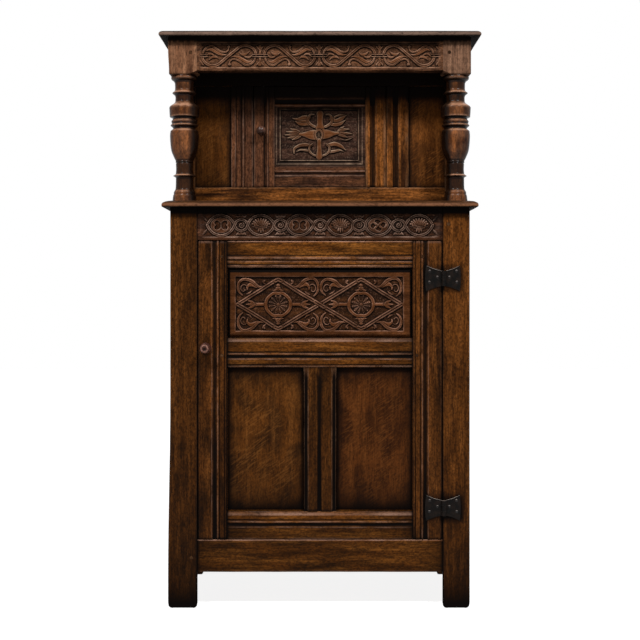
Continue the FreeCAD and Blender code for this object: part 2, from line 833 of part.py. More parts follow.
def make_recess_stile(side):
    low = block((recess_stile_inner, recess_half_width,
                 recess_depth, recess_back, ledge_top, frieze_rail_bottom))
    high = block((recess_stile_inner, frieze_side_inner, recess_depth, recess_back,
                  frieze_rail_bottom, cornice_bottom))
    stile = joined([low, high])
    tenons = [eased(tenon, tenon_clearance) for tenon in (recess_bottom_tenon, recess_top_tenon)]
    stile = cut_all(stile, tenons)
    stile = cut_all(stile, recess_panel_grooves())
    return other_side(stile) if side < 0 else stile


def make_recess_muntin(side):
    body = (half_opening, muntin_outer, recess_depth, recess_back, upper_opening_bottom, upper_opening_top)
    muntin = joined([block(body)] + [block(span) for span in muntin_tenons()])
    muntin = cut_all(muntin, recess_panel_grooves())
    return other_side(muntin) if side < 0 else muntin


def pintle_hole(z0, z1):
    return Part.makeCylinder(pintle_radius + pintle_clearance, z1 - z0, V(pintle_x, pintle_y, z0), V(0, 0, 1))


def make_recess_rail(low, high, tenon, hole):
    span = (-recess_stile_inner, recess_stile_inner, recess_depth, recess_back, low, high)
    rail = rail_with_tenons(span, tenon)
    return cut_all(rail, recess_panel_grooves() + muntin_mortises() + [hole])


def make_upper_end(side):
    end = block((recess_half_width - upper_end_thickness, recess_half_width, recess_back, rear_post_front,
                 ledge_top, frieze_rail_bottom))
    return other_side(end) if side < 0 else end


# Lower door
door_tenon_y0 = (door_thickness - door_tenon_thickness) / 2


def door_tenon(low, high):
    return (door_stile_inner, door_stile_inner + door_tenon_length, door_tenon_y0,
            door_tenon_y0 + door_tenon_thickness, low + tenon_shoulder, high - tenon_shoulder)


door_rail_limits = [
    (door_bottom, door_bottom_rail_top),
    (middle_rail_bottom, carved_opening_bottom),
    (carved_opening_top, door_top),
]
door_tenons = [door_tenon(low, high) for low, high in door_rail_limits]
panel_back = door_panel_setback + door_panel_thickness
door_carved_tongue = (
    -door_stile_inner - panel_tongue, door_stile_inner + panel_tongue, door_panel_setback, panel_back,
    carved_opening_bottom - panel_tongue, carved_opening_top + panel_tongue)
door_side_panel = (
    half_muntin - panel_tongue, door_stile_inner + panel_tongue, door_panel_setback, panel_back,
    door_bottom_rail_top - panel_tongue, middle_rail_bottom + panel_tongue)
top_peg_z = carved_opening_top + door_top_rail_height * door_top_peg_share
middle_peg_z = middle_rail_bottom + door_middle_rail_height * door_middle_peg_share
door_peg_places = [
    (-(door_stile_inner + door_peg_setback), top_peg_z),
    (-(door_stile_inner + door_peg_setback), middle_peg_z),
    (door_stile_inner + door_peg_outer_setback, top_peg_z),
    (door_stile_inner + door_peg_inner_setback, middle_peg_z),
]


def door_grooves():
    spans = [door_carved_tongue, door_side_panel, flipped(door_side_panel)]
    return [eased(span, panel_clearance) for span in spans]


def door_peg(place, gap):
    x, z = place
    return peg_along_y(x, z, -peg_proud - gap, door_peg_length + gap + gap, door_peg_radius + gap)


def door_peg_holes():
    return [door_peg(place, peg_clearance) for place in door_peg_places]


def make_door_stile(side):
    stile = block((door_stile_inner, door_half, 0, door_thickness, door_bottom, door_top))
    stile = cut_all(stile, [eased(tenon, tenon_clearance) for tenon in door_tenons] + door_grooves())
    x = door_stile_inner + stile_cove_inset
    stile = stile.cut(cove_along_z(x, door_bottom - overrun, door_top + overrun, 0))
    if side < 0:
        stile = other_side(stile)
        stile = stile.cut(peg_along_y(knob_x, knob_z, -overrun, door_thickness + overrun + overrun,
                                      knob_spindle_radius + spindle_clearance))
    return cut_all(stile, door_peg_holes() + nail_holes(side))


def make_door_rail(number, cove_z):
    low, high = door_rail_limits[number]
    span = (-door_stile_inner, door_stile_inner, 0, door_thickness, low, high)
    rail = rail_with_tenons(span, door_tenons[number])
    rail = cut_all(rail, door_grooves() + door_muntin_mortises())
    rail = rail.cut(cove_along_x(-door_stile_inner, door_stile_inner, cove_z, 0))
    return cut_all(rail, door_peg_holes())


def door_muntin_tenons():
    x = half_muntin - muntin_tenon_shoulder
    y0 = door_tenon_y0
    y1 = y0 + door_tenon_thickness
    return [
        (-x, x, y0, y1, door_bottom_rail_top - muntin_tenon_length, door_bottom_rail_top),
        (-x, x, y0, y1, middle_rail_bottom, middle_rail_bottom + muntin_tenon_length)]


def door_muntin_mortises():
    return [eased(span, tenon_clearance) for span in door_muntin_tenons()]


def muntin_edge_chamfer(side):
    x = side * half_muntin
    inner = x - side * muntin_chamfer
    low = door_bottom_rail_top + muntin_chamfer_stop
    high = middle_rail_bottom - muntin_chamfer_stop
    corner = [V(x, 0, low), V(inner, 0, low), V(x, muntin_chamfer, low)]
    return Part.Face(Part.makePolygon(corner + [corner[0]])).extrude(V(0, 0, high - low))


def make_door_muntin():
    body = (-half_muntin, half_muntin, 0, door_thickness, door_bottom_rail_top, middle_rail_bottom)
    muntin = joined([block(body)] + [block(span) for span in door_muntin_tenons()])
    run = cove_along_z(0, door_bottom_rail_top - overrun, middle_rail_bottom + overrun, 0)
    return cut_all(muntin, door_grooves() + [muntin_edge_chamfer(-1), muntin_edge_chamfer(1), run])


def make_door_carved_panel():
    gap = panel_clearance
    field = (-door_stile_inner + gap, door_stile_inner - gap, door_carved_setback, panel_back,
             carved_opening_bottom + gap, carved_opening_top - gap)
    panel = joined([block(door_carved_tongue), block(field)])
    face = door_carved_setback
    ground = face + carving_depth
    x = door_stile_inner - carved_border
    low = carved_opening_bottom + carved_border
    high = carved_opening_top - carved_border
    panel = panel.cut(block((-x, x, face - overrun, ground, low, high)))
    middle = (low + high) / 2
    half_width = x / 2 + lozenge_band / 2
    half_height = min(lozenge_half_height, (high - low) / 2)
    bands = []
    for side in (-1, 1):
        centre = side * x / 2
        bands.append(lozenge_ring(centre, middle, half_width, half_height, lozenge_band, face, ground))
        bands.append(ring(centre, middle, lozenge_ring_radius, lozenge_ring_radius,
                          lozenge_ring_band, face, ground))
        bands.append(oval(centre, middle, lozenge_boss_radius, lozenge_boss_radius, face, ground))
    return joined([panel] + bands)


# Upper door, on wooden pintles that are part of its hinge stile
upper_tenon_y0 = recess_depth + (recess_frame_thickness - upper_tenon_thickness) / 2


def upper_tenon(low, high):
    return (upper_stile_inner, upper_stile_inner + upper_tenon_length, upper_tenon_y0,
            upper_tenon_y0 + upper_tenon_thickness, low + tenon_shoulder, high - tenon_shoulder)


upper_rail_limits = [(upper_door_bottom, upper_panel_bottom), (upper_panel_top, upper_door_top)]
upper_tenons = [upper_tenon(low, high) for low, high in upper_rail_limits]
upper_panel_front = recess_depth + upper_panel_setback
upper_panel_back = upper_panel_front + upper_panel_thickness
upper_tongue = (
    -upper_stile_inner - panel_tongue, upper_stile_inner + panel_tongue, upper_panel_front, upper_panel_back,
    upper_panel_bottom - panel_tongue, upper_panel_top + panel_tongue)


def make_upper_stile(side):
    stile = block((upper_stile_inner, upper_half, recess_depth, recess_back,
                   upper_door_bottom, upper_door_top))
    stile = cut_all(stile, [eased(tenon, tenon_clearance) for tenon in upper_tenons])
    stile = stile.cut(eased(upper_tongue, panel_clearance))
    cove_x = upper_stile_inner + upper_cove_inset
    low, high = upper_door_bottom - overrun, upper_door_top + overrun
    stile = stile.cut(cove_along_z(cove_x, low, high, recess_depth))
    if side < 0:
        stile = other_side(stile)
        return stile.cut(peg_along_y(upper_knob_x, upper_knob_z, recess_depth - overrun,
                                     recess_frame_thickness + overrun + overrun,
                                     upper_knob_spindle_radius + spindle_clearance))
    stile = rounded(stile, pintle_inset, lambda b: (
        b.XMin > upper_half - near and b.YMax < recess_depth + near))
    for start, way in ((upper_door_top, 1), (upper_door_bottom, -1)):
        pintle = Part.makeCylinder(pintle_radius, pintle_length, V(pintle_x, pintle_y, start), V(0, 0, way))
        stile = stile.fuse(pintle)
    return stile


def make_upper_rail(number, cove_z):
    low, high = upper_rail_limits[number]
    span = (-upper_stile_inner, upper_stile_inner, recess_depth, recess_back, low, high)
    rail = rail_with_tenons(span, upper_tenons[number])
    rail = rail.cut(eased(upper_tongue, panel_clearance))
    return rail.cut(cove_along_x(-upper_stile_inner, upper_stile_inner, cove_z, recess_depth))


def make_upper_carved_panel():
    gap = panel_clearance
    face = recess_depth + upper_carved_setback
    field = (-upper_stile_inner + gap, upper_stile_inner - gap, face, upper_panel_back,
             upper_panel_bottom + gap, upper_panel_top - gap)
    panel = joined([block(upper_tongue), block(field)])
    ground = face + carving_depth
    x = upper_stile_inner - upper_border
    low = upper_panel_bottom + upper_border
    high = upper_panel_top - upper_border
    panel = panel.cut(block((-x, x, face - overrun, ground, low, high)))
    middle = (low + high) / 2
    half_stem = upper_stem_width / 2
    bands = [block((-half_stem, half_stem, face, ground, low, high))]
    for side in (-1, 1):
        bands.append(oval(side * upper_palmette_place, middle, upper_palmette_half_width,
                          upper_palmette_half_height, face, ground))
    arm = (-upper_palmette_place, upper_palmette_place, face, ground, middle - half_stem, middle + half_stem)
    return joined([panel, block(arm)] + bands)


# Butterfly hinges. Wings are laid out for the right side of the knuckle, then flipped.
def wing_length(side):
    return hinge_post_wing_length if side > 0 else hinge_door_wing_length


def wing(z, side):
    low = hinge_waist_height / 2
    high = hinge_outer_height / 2
    inner = hinge_web
    outer = wing_length(side)
    middle = (inner + outer) / 2
    dip = (low + high) / 2 - hinge_bulge
    far = outer + hinge_edge_swell

    def at(x, height):
        return V(hinge_x + side * x, -hinge_thickness, z + height)

    edges = [
        Part.LineSegment(at(inner, -low), at(inner, low)).toShape(),
        Part.Arc(at(inner, low), at(middle, dip), at(outer, high)).toShape(),
        Part.Arc(at(outer, high), at(far, 0), at(outer, -high)).toShape(),
        Part.Arc(at(outer, -high), at(middle, -dip), at(inner, -low)).toShape(),
    ]
    return Part.Face(Part.Wire(edges)).extrude(V(0, hinge_thickness, 0))


def knuckle(z0, z1):
    return Part.makeCylinder(knuckle_radius, z1 - z0, V(hinge_x, hinge_y, z0), V(0, 0, 1))


def web(z0, z1, side):
    x0 = min(0, side * hinge_web)
    x1 = max(0, side * hinge_web)
    return block((hinge_x + x0, hinge_x + x1, -hinge_thickness, 0, z0, z1))


def nail_places(z, side):
    reach = wing_length(side)
    height = hinge_outer_height / 2
    return [(hinge_x + side * across * reach, z + up * height) for across, up in nail_place_shares]


def nail_bores(z, side):
    return [peg_along_y(x, h, -hinge_thickness - overrun, nail_length + overrun + overrun,
                        nail_shank_radius + nail_clearance) for x, h in nail_places(z, side)]


def nail_holes(side):
    if side < 0:
        return []
    holes = []
    for z in hinge_heights:
        for wing_side in (-1, 1):
            holes += nail_bores(z, wing_side)
    return holes


def make_post_leaf(z):
    middle = knuckle_middle_length / 2 + knuckle_gap
    end = hinge_waist_height / 2
    pin = Part.makeCylinder(hinge_pin_radius, 2 * end, V(hinge_x, hinge_y, z - end), V(0, 0, 1))
    pieces = [wing(z, 1), pin]
    for z0, z1 in ((z + middle, z + end), (z - end, z - middle)):
        pieces += [knuckle(z0, z1), web(z0, z1, 1)]
    return cut_all(joined(pieces), nail_bores(z, 1))


def make_door_leaf(z):
    middle = knuckle_middle_length / 2
    bore = Part.makeCylinder(hinge_pin_radius + hinge_pin_clearance, hinge_waist_height,
                             V(hinge_x, hinge_y, z - hinge_waist_height / 2), V(0, 0, 1))
    leaf = joined([wing(z, -1), knuckle(z - middle, z + middle), web(z - middle, z + middle, -1)])
    return cut_all(leaf, [bore] + nail_bores(z, -1))


def make_nail(x, z):
    face = -hinge_thickness
    ball = (nail_head_radius ** 2 + nail_head_height ** 2) / (2 * nail_head_height)
    dome = Part.makeSphere(ball, V(x, face - nail_head_height + ball, z))
    dome = dome.common(peg_along_y(x, z, face - nail_head_height - overrun, nail_head_height + overrun,
                                   nail_head_radius + overrun))
    return dome.fuse(peg_along_y(x, z, face - nail_head_height / 2, nail_length, nail_shank_radius))


def make_nails(side):
    nails = []
    for z in hinge_heights:
        nails += [make_nail(x, h) for x, h in nail_places(z, side)]
    return Part.makeCompound(nails)


# Knobs turn in the door's stile and carry a latch on the inner face.
def turned_along_y(x, z, base, length, radius, shares):
    points = [V(0, base, 0)]
    points += [V(r * radius, base - along * length, 0) for along, r in shares]
    points += [V(0, base - length, 0)]
    shape = Part.Face(Part.makePolygon(points + [points[0]])).revolve(V(0, 0, 0), V(0, 1, 0), 360)
    shape.translate(V(x, 0, z))
    return shape


def latch(x, z, y0, thickness, hub_radius, width, reach, spindle_radius):
    hub = Part.makeCylinder(hub_radius, thickness, V(x, y0, z), V(0, 1, 0))
    tongue = block((x - width / 2, x + width / 2, y0, y0 + thickness, z - reach, z))
    eye = Part.makeCylinder(spindle_radius, thickness + overrun + overrun, V(x, y0 - overrun, z), V(0, 1, 0))
    return joined([hub, tongue]).cut(eye)


def make_lower_knob():
    head = turned_along_y(knob_x, knob_z, -latch_gap, knob_projection - latch_gap,
                          knob_radius, knob_profile_shares)
    dimple = peg_along_y(knob_x, knob_z, -knob_projection - overrun,
                         overrun + knob_dimple_depth, knob_dimple_radius)
    back = door_thickness + latch_gap + latch_thickness
    spindle = peg_along_y(knob_x, knob_z, -latch_gap - knob_radius / 2, back + latch_gap + knob_radius / 2,
                          knob_spindle_radius)
    knob = joined([head, spindle]).cut(dimple)
    inner = latch(knob_x, knob_z, door_thickness + latch_gap, latch_thickness, latch_hub_radius,
                  latch_width, latch_reach, knob_spindle_radius + spindle_clearance)
    return Part.makeCompound([knob, inner])


def make_upper_knob():
    length = upper_knob_projection - latch_gap
    head = turned_along_y(upper_knob_x, upper_knob_z, recess_depth - latch_gap, length,
                          upper_knob_radius, upper_knob_profile_shares)
    start = recess_depth - latch_gap - upper_knob_neck_radius
    back = recess_back + latch_gap + upper_latch_thickness
    spindle = peg_along_y(upper_knob_x, upper_knob_z, start, back - start, upper_knob_spindle_radius)
    knob = joined([head, spindle])
    inner = latch(upper_knob_x, upper_knob_z, recess_back + latch_gap, upper_latch_thickness,
                  upper_latch_hub_radius, upper_latch_width, upper_latch_reach,
                  upper_knob_spindle_radius + spindle_clearance)
    return Part.makeCompound([knob, inner])


def make_carcase_pegs():
    pegs = [front_peg(place, 0) for place in front_peg_spans()]
    for place in side_peg_places():
        peg = side_peg(place, 0)
        pegs += [peg, other_side(peg)]
    return Part.makeCompound(pegs)


def sided(side):
    return "right" if side > 0 else "left"


def case_nodes():
    nodes = {}
    low_panels = [lower_side_panel]
    both_panels = [lower_side_panel, upper_side_panel]
    for side in (-1, 1):
        name = sided(side)
        nodes["front_" + name + "_post"] = make_front_post(side)
        nodes["rear_" + name + "_post"] = make_rear_post(side)
        nodes[name + "_side_bottom_rail"] = make_side_rail(
            side, leg_length, bottom_rail_top, bottom_side_tenons, low_panels)
        nodes[name + "_side_middle_rail"] = make_side_rail(
            side, middle_side_rail_bottom, shelf_bottom, middle_side_tenons, both_panels)
        nodes[name + "_side_top_rail"] = make_side_rail(
            side, top_side_bottom, ledge_bottom, top_side_tenons, [upper_side_panel])
        for level, span in (("lower", lower_side_panel), ("upper", upper_side_panel)):
            panel = block(span)
            nodes[name + "_side_" + level + "_panel"] = other_side(panel) if side < 0 else panel
    nodes["front_bottom_rail"] = make_front_bottom_rail()
    nodes["waist_frieze_rail"] = make_waist_frieze_rail()
    nodes["rear_bottom_rail"] = make_rear_rail(rear_bottom_low, rear_bottom_top, rear_bottom_tenon)
    nodes["back_boards"] = make_back_boards()
    nodes["floor_boards"] = make_floor_boards()
    nodes["shelf"] = make_shelf()
    nodes["ledge_board"] = make_ledge_board()
    nodes["carcase_pegs"] = make_carcase_pegs()
    return nodes


def upper_nodes():
    nodes = {}
    hole_depth = pintle_length + tenon_clearance
    bottom_hole = pintle_hole(upper_opening_bottom - hole_depth + door_gap, upper_opening_bottom + overrun)
    top_hole = pintle_hole(upper_opening_top - overrun, upper_opening_top + hole_depth - door_gap)
    for side in (-1, 1):
        name = sided(side)
        nodes[name + "_column"] = make_column(side)
        nodes[name + "_frieze_side_rail"] = make_frieze_side_rail(side)
        nodes[name + "_upper_end"] = make_upper_end(side)
        nodes["recess_" + name + "_stile"] = make_recess_stile(side)
        nodes["recess_" + name + "_muntin"] = make_recess_muntin(side)
        panel = block(recess_panel)
        nodes["recess_" + name + "_panel"] = other_side(panel) if side < 0 else panel
    nodes["frieze_rail"] = make_frieze_rail()
    nodes["rear_top_rail"] = make_rear_rail(rear_top_low, cornice_bottom, rear_top_tenon)
    nodes["recess_bottom_rail"] = make_recess_rail(
        ledge_top, upper_opening_bottom, recess_bottom_tenon, bottom_hole)
    nodes["recess_top_rail"] = make_recess_rail(upper_opening_top, cornice_bottom, recess_top_tenon, top_hole)
    nodes["cornice_board"] = make_cornice_board()
    return nodes


def lower_door_nodes():
    nodes = {}
    nodes["lower_door_knob_stile"] = make_door_stile(-1)
    nodes["lower_door_hinge_stile"] = make_door_stile(1)
    nodes["lower_door_bottom_rail"] = make_door_rail(0, door_bottom_rail_top - bottom_rail_cove_inset)
    nodes["lower_door_middle_rail"] = make_door_rail(1, middle_rail_bottom + middle_rail_cove_inset)
    nodes["lower_door_top_rail"] = make_door_rail(2, carved_opening_top + top_rail_cove_inset)
    nodes["lower_door_muntin"] = make_door_muntin()
    nodes["lower_door_carved_panel"] = make_door_carved_panel()
    nodes["lower_door_right_panel"] = block(door_side_panel)
    nodes["lower_door_left_panel"] = block(flipped(door_side_panel))
    nodes["lower_door_pegs"] = Part.makeCompound([door_peg(place, 0) for place in door_peg_places])
    nodes["hinge_post_leaves"] = Part.makeCompound([make_post_leaf(z) for z in hinge_heights])
    nodes["hinge_door_leaves"] = Part.makeCompound([make_door_leaf(z) for z in hinge_heights])
    nodes["hinge_post_nails"] = make_nails(1)
    nodes["hinge_door_nails"] = make_nails(-1)
    nodes["lower_knob"] = make_lower_knob()
    return nodes


def upper_door_nodes():
    nodes = {}
    nodes["upper_door_knob_stile"] = make_upper_stile(-1)
    nodes["upper_door_hinge_stile"] = make_upper_stile(1)
    nodes["upper_door_bottom_rail"] = make_upper_rail(0, upper_panel_bottom - upper_cove_inset)
    nodes["upper_door_top_rail"] = make_upper_rail(1, upper_panel_top + upper_cove_inset)
    nodes["upper_door_carved_panel"] = make_upper_carved_panel()
    nodes["upper_knob"] = make_upper_knob()
    return nodes


def main():
    os.makedirs("parts", exist_ok=True)
    nodes = {}
    for group in (case_nodes(), upper_nodes(), lower_door_nodes(), upper_door_nodes()):
        nodes.update(group)
    for name, shape in nodes.items():
        placed = shape.translated(V(0, -depth_middle, 0))
        placed.exportStep("parts/" + name + ".step")
        if not placed.isValid():
            print("not valid:", name)
    print(len(nodes), "nodes, height", cornice_top)


main()
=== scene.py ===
import bpy
import math
import numpy as np
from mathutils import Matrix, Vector


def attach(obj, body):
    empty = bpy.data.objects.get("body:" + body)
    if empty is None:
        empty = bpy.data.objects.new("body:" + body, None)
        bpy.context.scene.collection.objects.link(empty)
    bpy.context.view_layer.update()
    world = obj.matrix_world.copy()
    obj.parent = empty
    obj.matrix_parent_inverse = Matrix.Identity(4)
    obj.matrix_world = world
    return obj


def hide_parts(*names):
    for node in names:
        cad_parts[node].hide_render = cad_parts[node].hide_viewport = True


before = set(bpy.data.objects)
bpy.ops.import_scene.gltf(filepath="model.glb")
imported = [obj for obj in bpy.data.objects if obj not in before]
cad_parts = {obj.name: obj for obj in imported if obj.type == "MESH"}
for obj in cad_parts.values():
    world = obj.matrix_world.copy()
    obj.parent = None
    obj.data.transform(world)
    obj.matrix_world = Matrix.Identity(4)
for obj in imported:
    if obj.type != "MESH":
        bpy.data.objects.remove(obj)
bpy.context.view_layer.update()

# The case is laid out here in millimetres: X to the right, Z up, and y = 0 at the front of
# the lower posts and doors. DEPTH_SHIFT puts it in the frame's own place, in metres.
DEPTH_SHIFT = 183.0
MM = 0.001
SMOOTH_LIMIT = math.radians(38)

# Levels of the case, from the floor up
RAIL_LOW, RAIL_TOP = 95.0, 181.0
WAIST_LOW, LEDGE_LOW, LEDGE_TOP = 970.0, 1057.0, 1075.5
PORCH_LOW, PORCH_TOP = 1120.0, 1398.0
FRIEZE_LOW, BLOCK_LOW, CORNICE_LOW = 1418.0, 1408.0, 1505.0

# Places across and through the case
SIDES = ((-1, "left"), (1, "right"))
POST_IN, POST_OUT, POST_BACK, FOOT_FLARE = 323.0, 395.0, 60.0, 6.0
RAIL_FRONT, RAIL_BACK = 2.0, 38.0
BLOCK_IN, BLOCK_OUT, BLOCK_FRONT, BLOCK_BACK = 325.0, 398.0, -2.0, 71.0
COLUMN_X, COLUMN_Y = 361.5, 34.5
LEDGE_REACH, LEDGE_FRONT, LEDGE_BACK = 415.0, -25.0, 399.4
CORNICE_REACH, CORNICE_FRONT, CORNICE_BACK = 422.5, -26.0, 400.0
RECESS_Y, RECESS_BACK = 110.0, 132.0
RECESS_OPEN, MUNTIN_OUT, STILE_IN, STILE_OUT = 182.0, 243.0, 342.0, 388.0
DOOR_HALF, DOOR_LOW, DOOR_TOP = 321.5, 182.5, 968.5
DOOR_BACK = 25.0
STILE_EDGE, MUNTIN_HALF = 244.5, 43.5
DOOR_PANEL_FRONT, DOOR_PANEL_BACK = 12.0, 19.0
RECESS_PANEL_FRONT, RECESS_PANEL_BACK = 119.0, 127.0
CARVED_LOW, CARVED_TOP = 714.0, 898.0
MIDDLE_LOW = 635.4
PANEL_LOW = 257.0
UP_HALF, UP_EDGE = 180.5, 124.0
UP_LOW, UP_TOP = 1121.5, 1396.5
UP_PANEL_LOW, UP_PANEL_TOP = 1179.5, 1339.5
KNOB_X, KNOB_LEVEL = -301.5, 686.0
LATCH_SLOT_LOW, LATCH_SLOT_HIGH = (-336.5, 24.9, 650.0), (-318.0, 33.2, 696.5)
HINGE_X, HINGE_LEVELS = 326.0, (265.0, 869.5)
POST_WING, DOOR_WING = 42.5, 46.5
CARVING_HEIGHT = 4.0
# The backs of the two carved door panels are seen when a door is open.
PANEL_BACK_DIRT = 0.2


# Smooth random fields. The lattice hash is fixed, so every run gives the same wood.
def lattice(ix, iy, iz, seed):
    n = (ix * 73856093) ^ (iy * 19349663) ^ (iz * 83492791) ^ (seed * 40503)
    n = ((n ^ (n >> 13)) * 1274126177) & 0x7FFFFFFF
    n = n ^ (n >> 15)
    return (n & 65535) / 32767.5 - 1.0


def noise(x, y, z, seed):
    x, y, z = np.broadcast_arrays(*(np.asarray(c, float) for c in (x, y, z)))
    cells = [np.floor(c).astype(np.int64) for c in (x, y, z)]
    parts = [c - i for c, i in zip((x, y, z), cells)]
    ramps = [p * p * (3.0 - 2.0 * p) for p in parts]
    total = np.zeros(x.shape)
    for corner in range(8):
        bits = [(corner >> k) & 1 for k in range(3)]
        weight = np.ones(x.shape)
        for bit, ramp in zip(bits, ramps):
            weight = weight * (ramp if bit else 1.0 - ramp)
        total += weight * lattice(*(c + b for c, b in zip(cells, bits)), seed)
    return total


def layered(x, y, z, seed):
    middling = noise(2.1 * x, 2.1 * y, 2.1 * z, seed + 7)
    fine = noise(4.3 * x, 4.3 * y, 4.3 * z, seed + 13)
    return 0.6 * noise(x, y, z, seed) + 0.3 * middling + 0.15 * fine


def ease(values):
    values = np.clip(values, 0.0, 1.0)
    return values * values * (3.0 - 2.0 * values)


def bell(values, width):
    return np.exp(-(values / width) ** 2)


# Depth by which a rounded arris falls away from the face, at a distance from the edge.
def arris_fall(distance, radius):
    inside = np.clip(radius - distance, 0.0, radius)
    return radius - np.sqrt(np.maximum(radius * radius - inside * inside, 0.0))


# A smooth curve through the points given
def through(points, steps=9):
    points = np.array(points, float)
    ends = np.concatenate([[2 * points[0] - points[1]], points, [2 * points[-1] - points[-2]]])
    share = np.linspace(0.0, 1.0, steps, endpoint=False)[:, None]
    runs = []
    for a, b, c, d in zip(ends[:-3], ends[1:-2], ends[2:-1], ends[3:]):
        runs.append(0.5 * (2 * b + (c - a) * share + (2 * a - 5 * b + 4 * c - d) * share ** 2
                           + (3 * b - a - 3 * c + d) * share ** 3))
    return np.concatenate(runs + [points[-1:]])


# From the millimetres used here to the frame's own place in metres
def place(points):
    moved = np.array(points, float)
    moved[:, 1] -= DEPTH_SHIFT
    return moved * MM


# Every piece rides a body, and may take the place of CAD nodes. Its marks are worn and dirty places,
# with painted highlights and painted shade.
def make_piece(name, points, faces, body, material, nodes=(), marks=None, limit=SMOOTH_LIMIT):
    mesh = bpy.data.meshes.new(name)
    mesh.from_pydata(place(points).tolist(), [], faces)
    mesh.validate()
    for mark, values in (marks or {}).items():
        layer = mesh.attributes.new(mark, "FLOAT", "POINT")
        layer.data.foreach_set("value", np.clip(values, 0.0, 1.0).astype(np.float32).ravel())
    mesh.shade_smooth()
    mesh.set_sharp_from_angle(angle=limit)
    mesh.materials.append(material)
    piece = bpy.data.objects.new(name, mesh)
    bpy.context.scene.collection.objects.link(piece)
    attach(piece, body)
    for node in nodes:
        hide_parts(node)
    return piece


# Quads between rows of a ring of points, closed at both ends
def loft_faces(rows, ring, flip=False):
    faces = []
    for row in range(rows - 1):
        low = row * ring
        for k in range(ring):
            a, b = low + k, low + (k + 1) % ring
            faces.append((a, b, b + ring, a + ring))
    last = (rows - 1) * ring
    faces += [tuple(range(ring - 1, -1, -1)), tuple(range(last, last + ring))]
    return [face[::-1] for face in faces] if flip else faces


# Node materials
def tree_of(name):
    material = bpy.data.materials.new(name)
    material.use_nodes = True
    tree = material.node_tree
    shader = tree.nodes["Principled BSDF"]
    return material, tree, shader


def add(tree, kind, **settings):
    node = tree.nodes.new(kind)
    for key, value in settings.items():
        if key in node.inputs.keys():
            node.inputs[key].default_value = value
        else:
            setattr(node, key, value)
    return node


def blend_colours(tree, factor, first, second, mode="MIX"):
    node = tree.nodes.new("ShaderNodeMix")
    node.data_type = "RGBA"
    node.blend_type = mode
    for socket, value in ((node.inputs[0], factor), (node.inputs[6], first), (node.inputs[7], second)):
        if isinstance(value, bpy.types.NodeSocket):
            tree.links.new(value, socket)
        else:
            socket.default_value = value
    return node.outputs[2]


def math_node(tree, operation, first, second=0.5, clamp=False):
    node = tree.nodes.new("ShaderNodeMath")
    node.operation = operation
    node.use_clamp = clamp
    for socket, value in ((node.inputs[0], first), (node.inputs[1], second)):
        if isinstance(value, bpy.types.NodeSocket):
            tree.links.new(value, socket)
        else:
            socket.default_value = value
    return node.outputs[0]


def ramp(tree, factor, low, high):
    node = tree.nodes.new("ShaderNodeMapRange")
    node.interpolation_type = "SMOOTHSTEP"
    node.inputs[1].default_value = low
    node.inputs[2].default_value = high
    tree.links.new(factor, node.inputs[0])
    return node.outputs[0]


# A share, 0 to 1, painted on a piece's points
def mark_on(tree, mark):
    node = tree.nodes.new("ShaderNodeAttribute")
    node.attribute_name = mark
    return node.outputs["Fac"]


# Noise drawn out along the grain: so many waves a metre along it and across it.
def grain_noise(tree, coords, axis, along, across, detail, seed, distortion=0.0, lean=0.0):
    mapping = tree.nodes.new("ShaderNodeMapping")
    mapping.inputs["Scale"].default_value = tuple(along if letter == axis else across for letter in "xyz")
    mapping.inputs["Location"].default_value = (seed * 1.37 % 9, seed * 2.71 % 9, seed * 0.73 % 9)
    if lean:
        tilt = tree.nodes.new("ShaderNodeMapping")
        tilt.inputs["Rotation"].default_value = (0.0, lean, 0.0)
        tree.links.new(coords, tilt.inputs["Vector"])
        coords = tilt.outputs[0]
    tree.links.new(coords, mapping.inputs["Vector"])
    node = tree.nodes.new("ShaderNodeTexNoise")
    node.inputs["Scale"].default_value = 1.0
    node.inputs["Detail"].default_value = detail
    node.inputs["Distortion"].default_value = distortion
    tree.links.new(mapping.outputs[0], node.inputs["Vector"])
    return node.outputs[0]


def linear(red, green, blue):
    values = []
    for part in (red, green, blue):
        share = part / 255.0
        values.append(share / 12.92 if share <= 0.04045 else ((share + 0.055) / 1.055) ** 2.4)
    return (*values, 1.0)


def contrast(lift):
    return (1.0 + lift, 1.0 + lift, 1.0 + lift, 1.0)


# The black of pores, of dirt and of painted shade
DIRT_AND_SHADE = linear(6, 3, 2)
GOLD = linear(122, 68, 28)
# How strongly the quartered figure shows in a figured panel
FIGURE = 0.4
made_oaks = {}
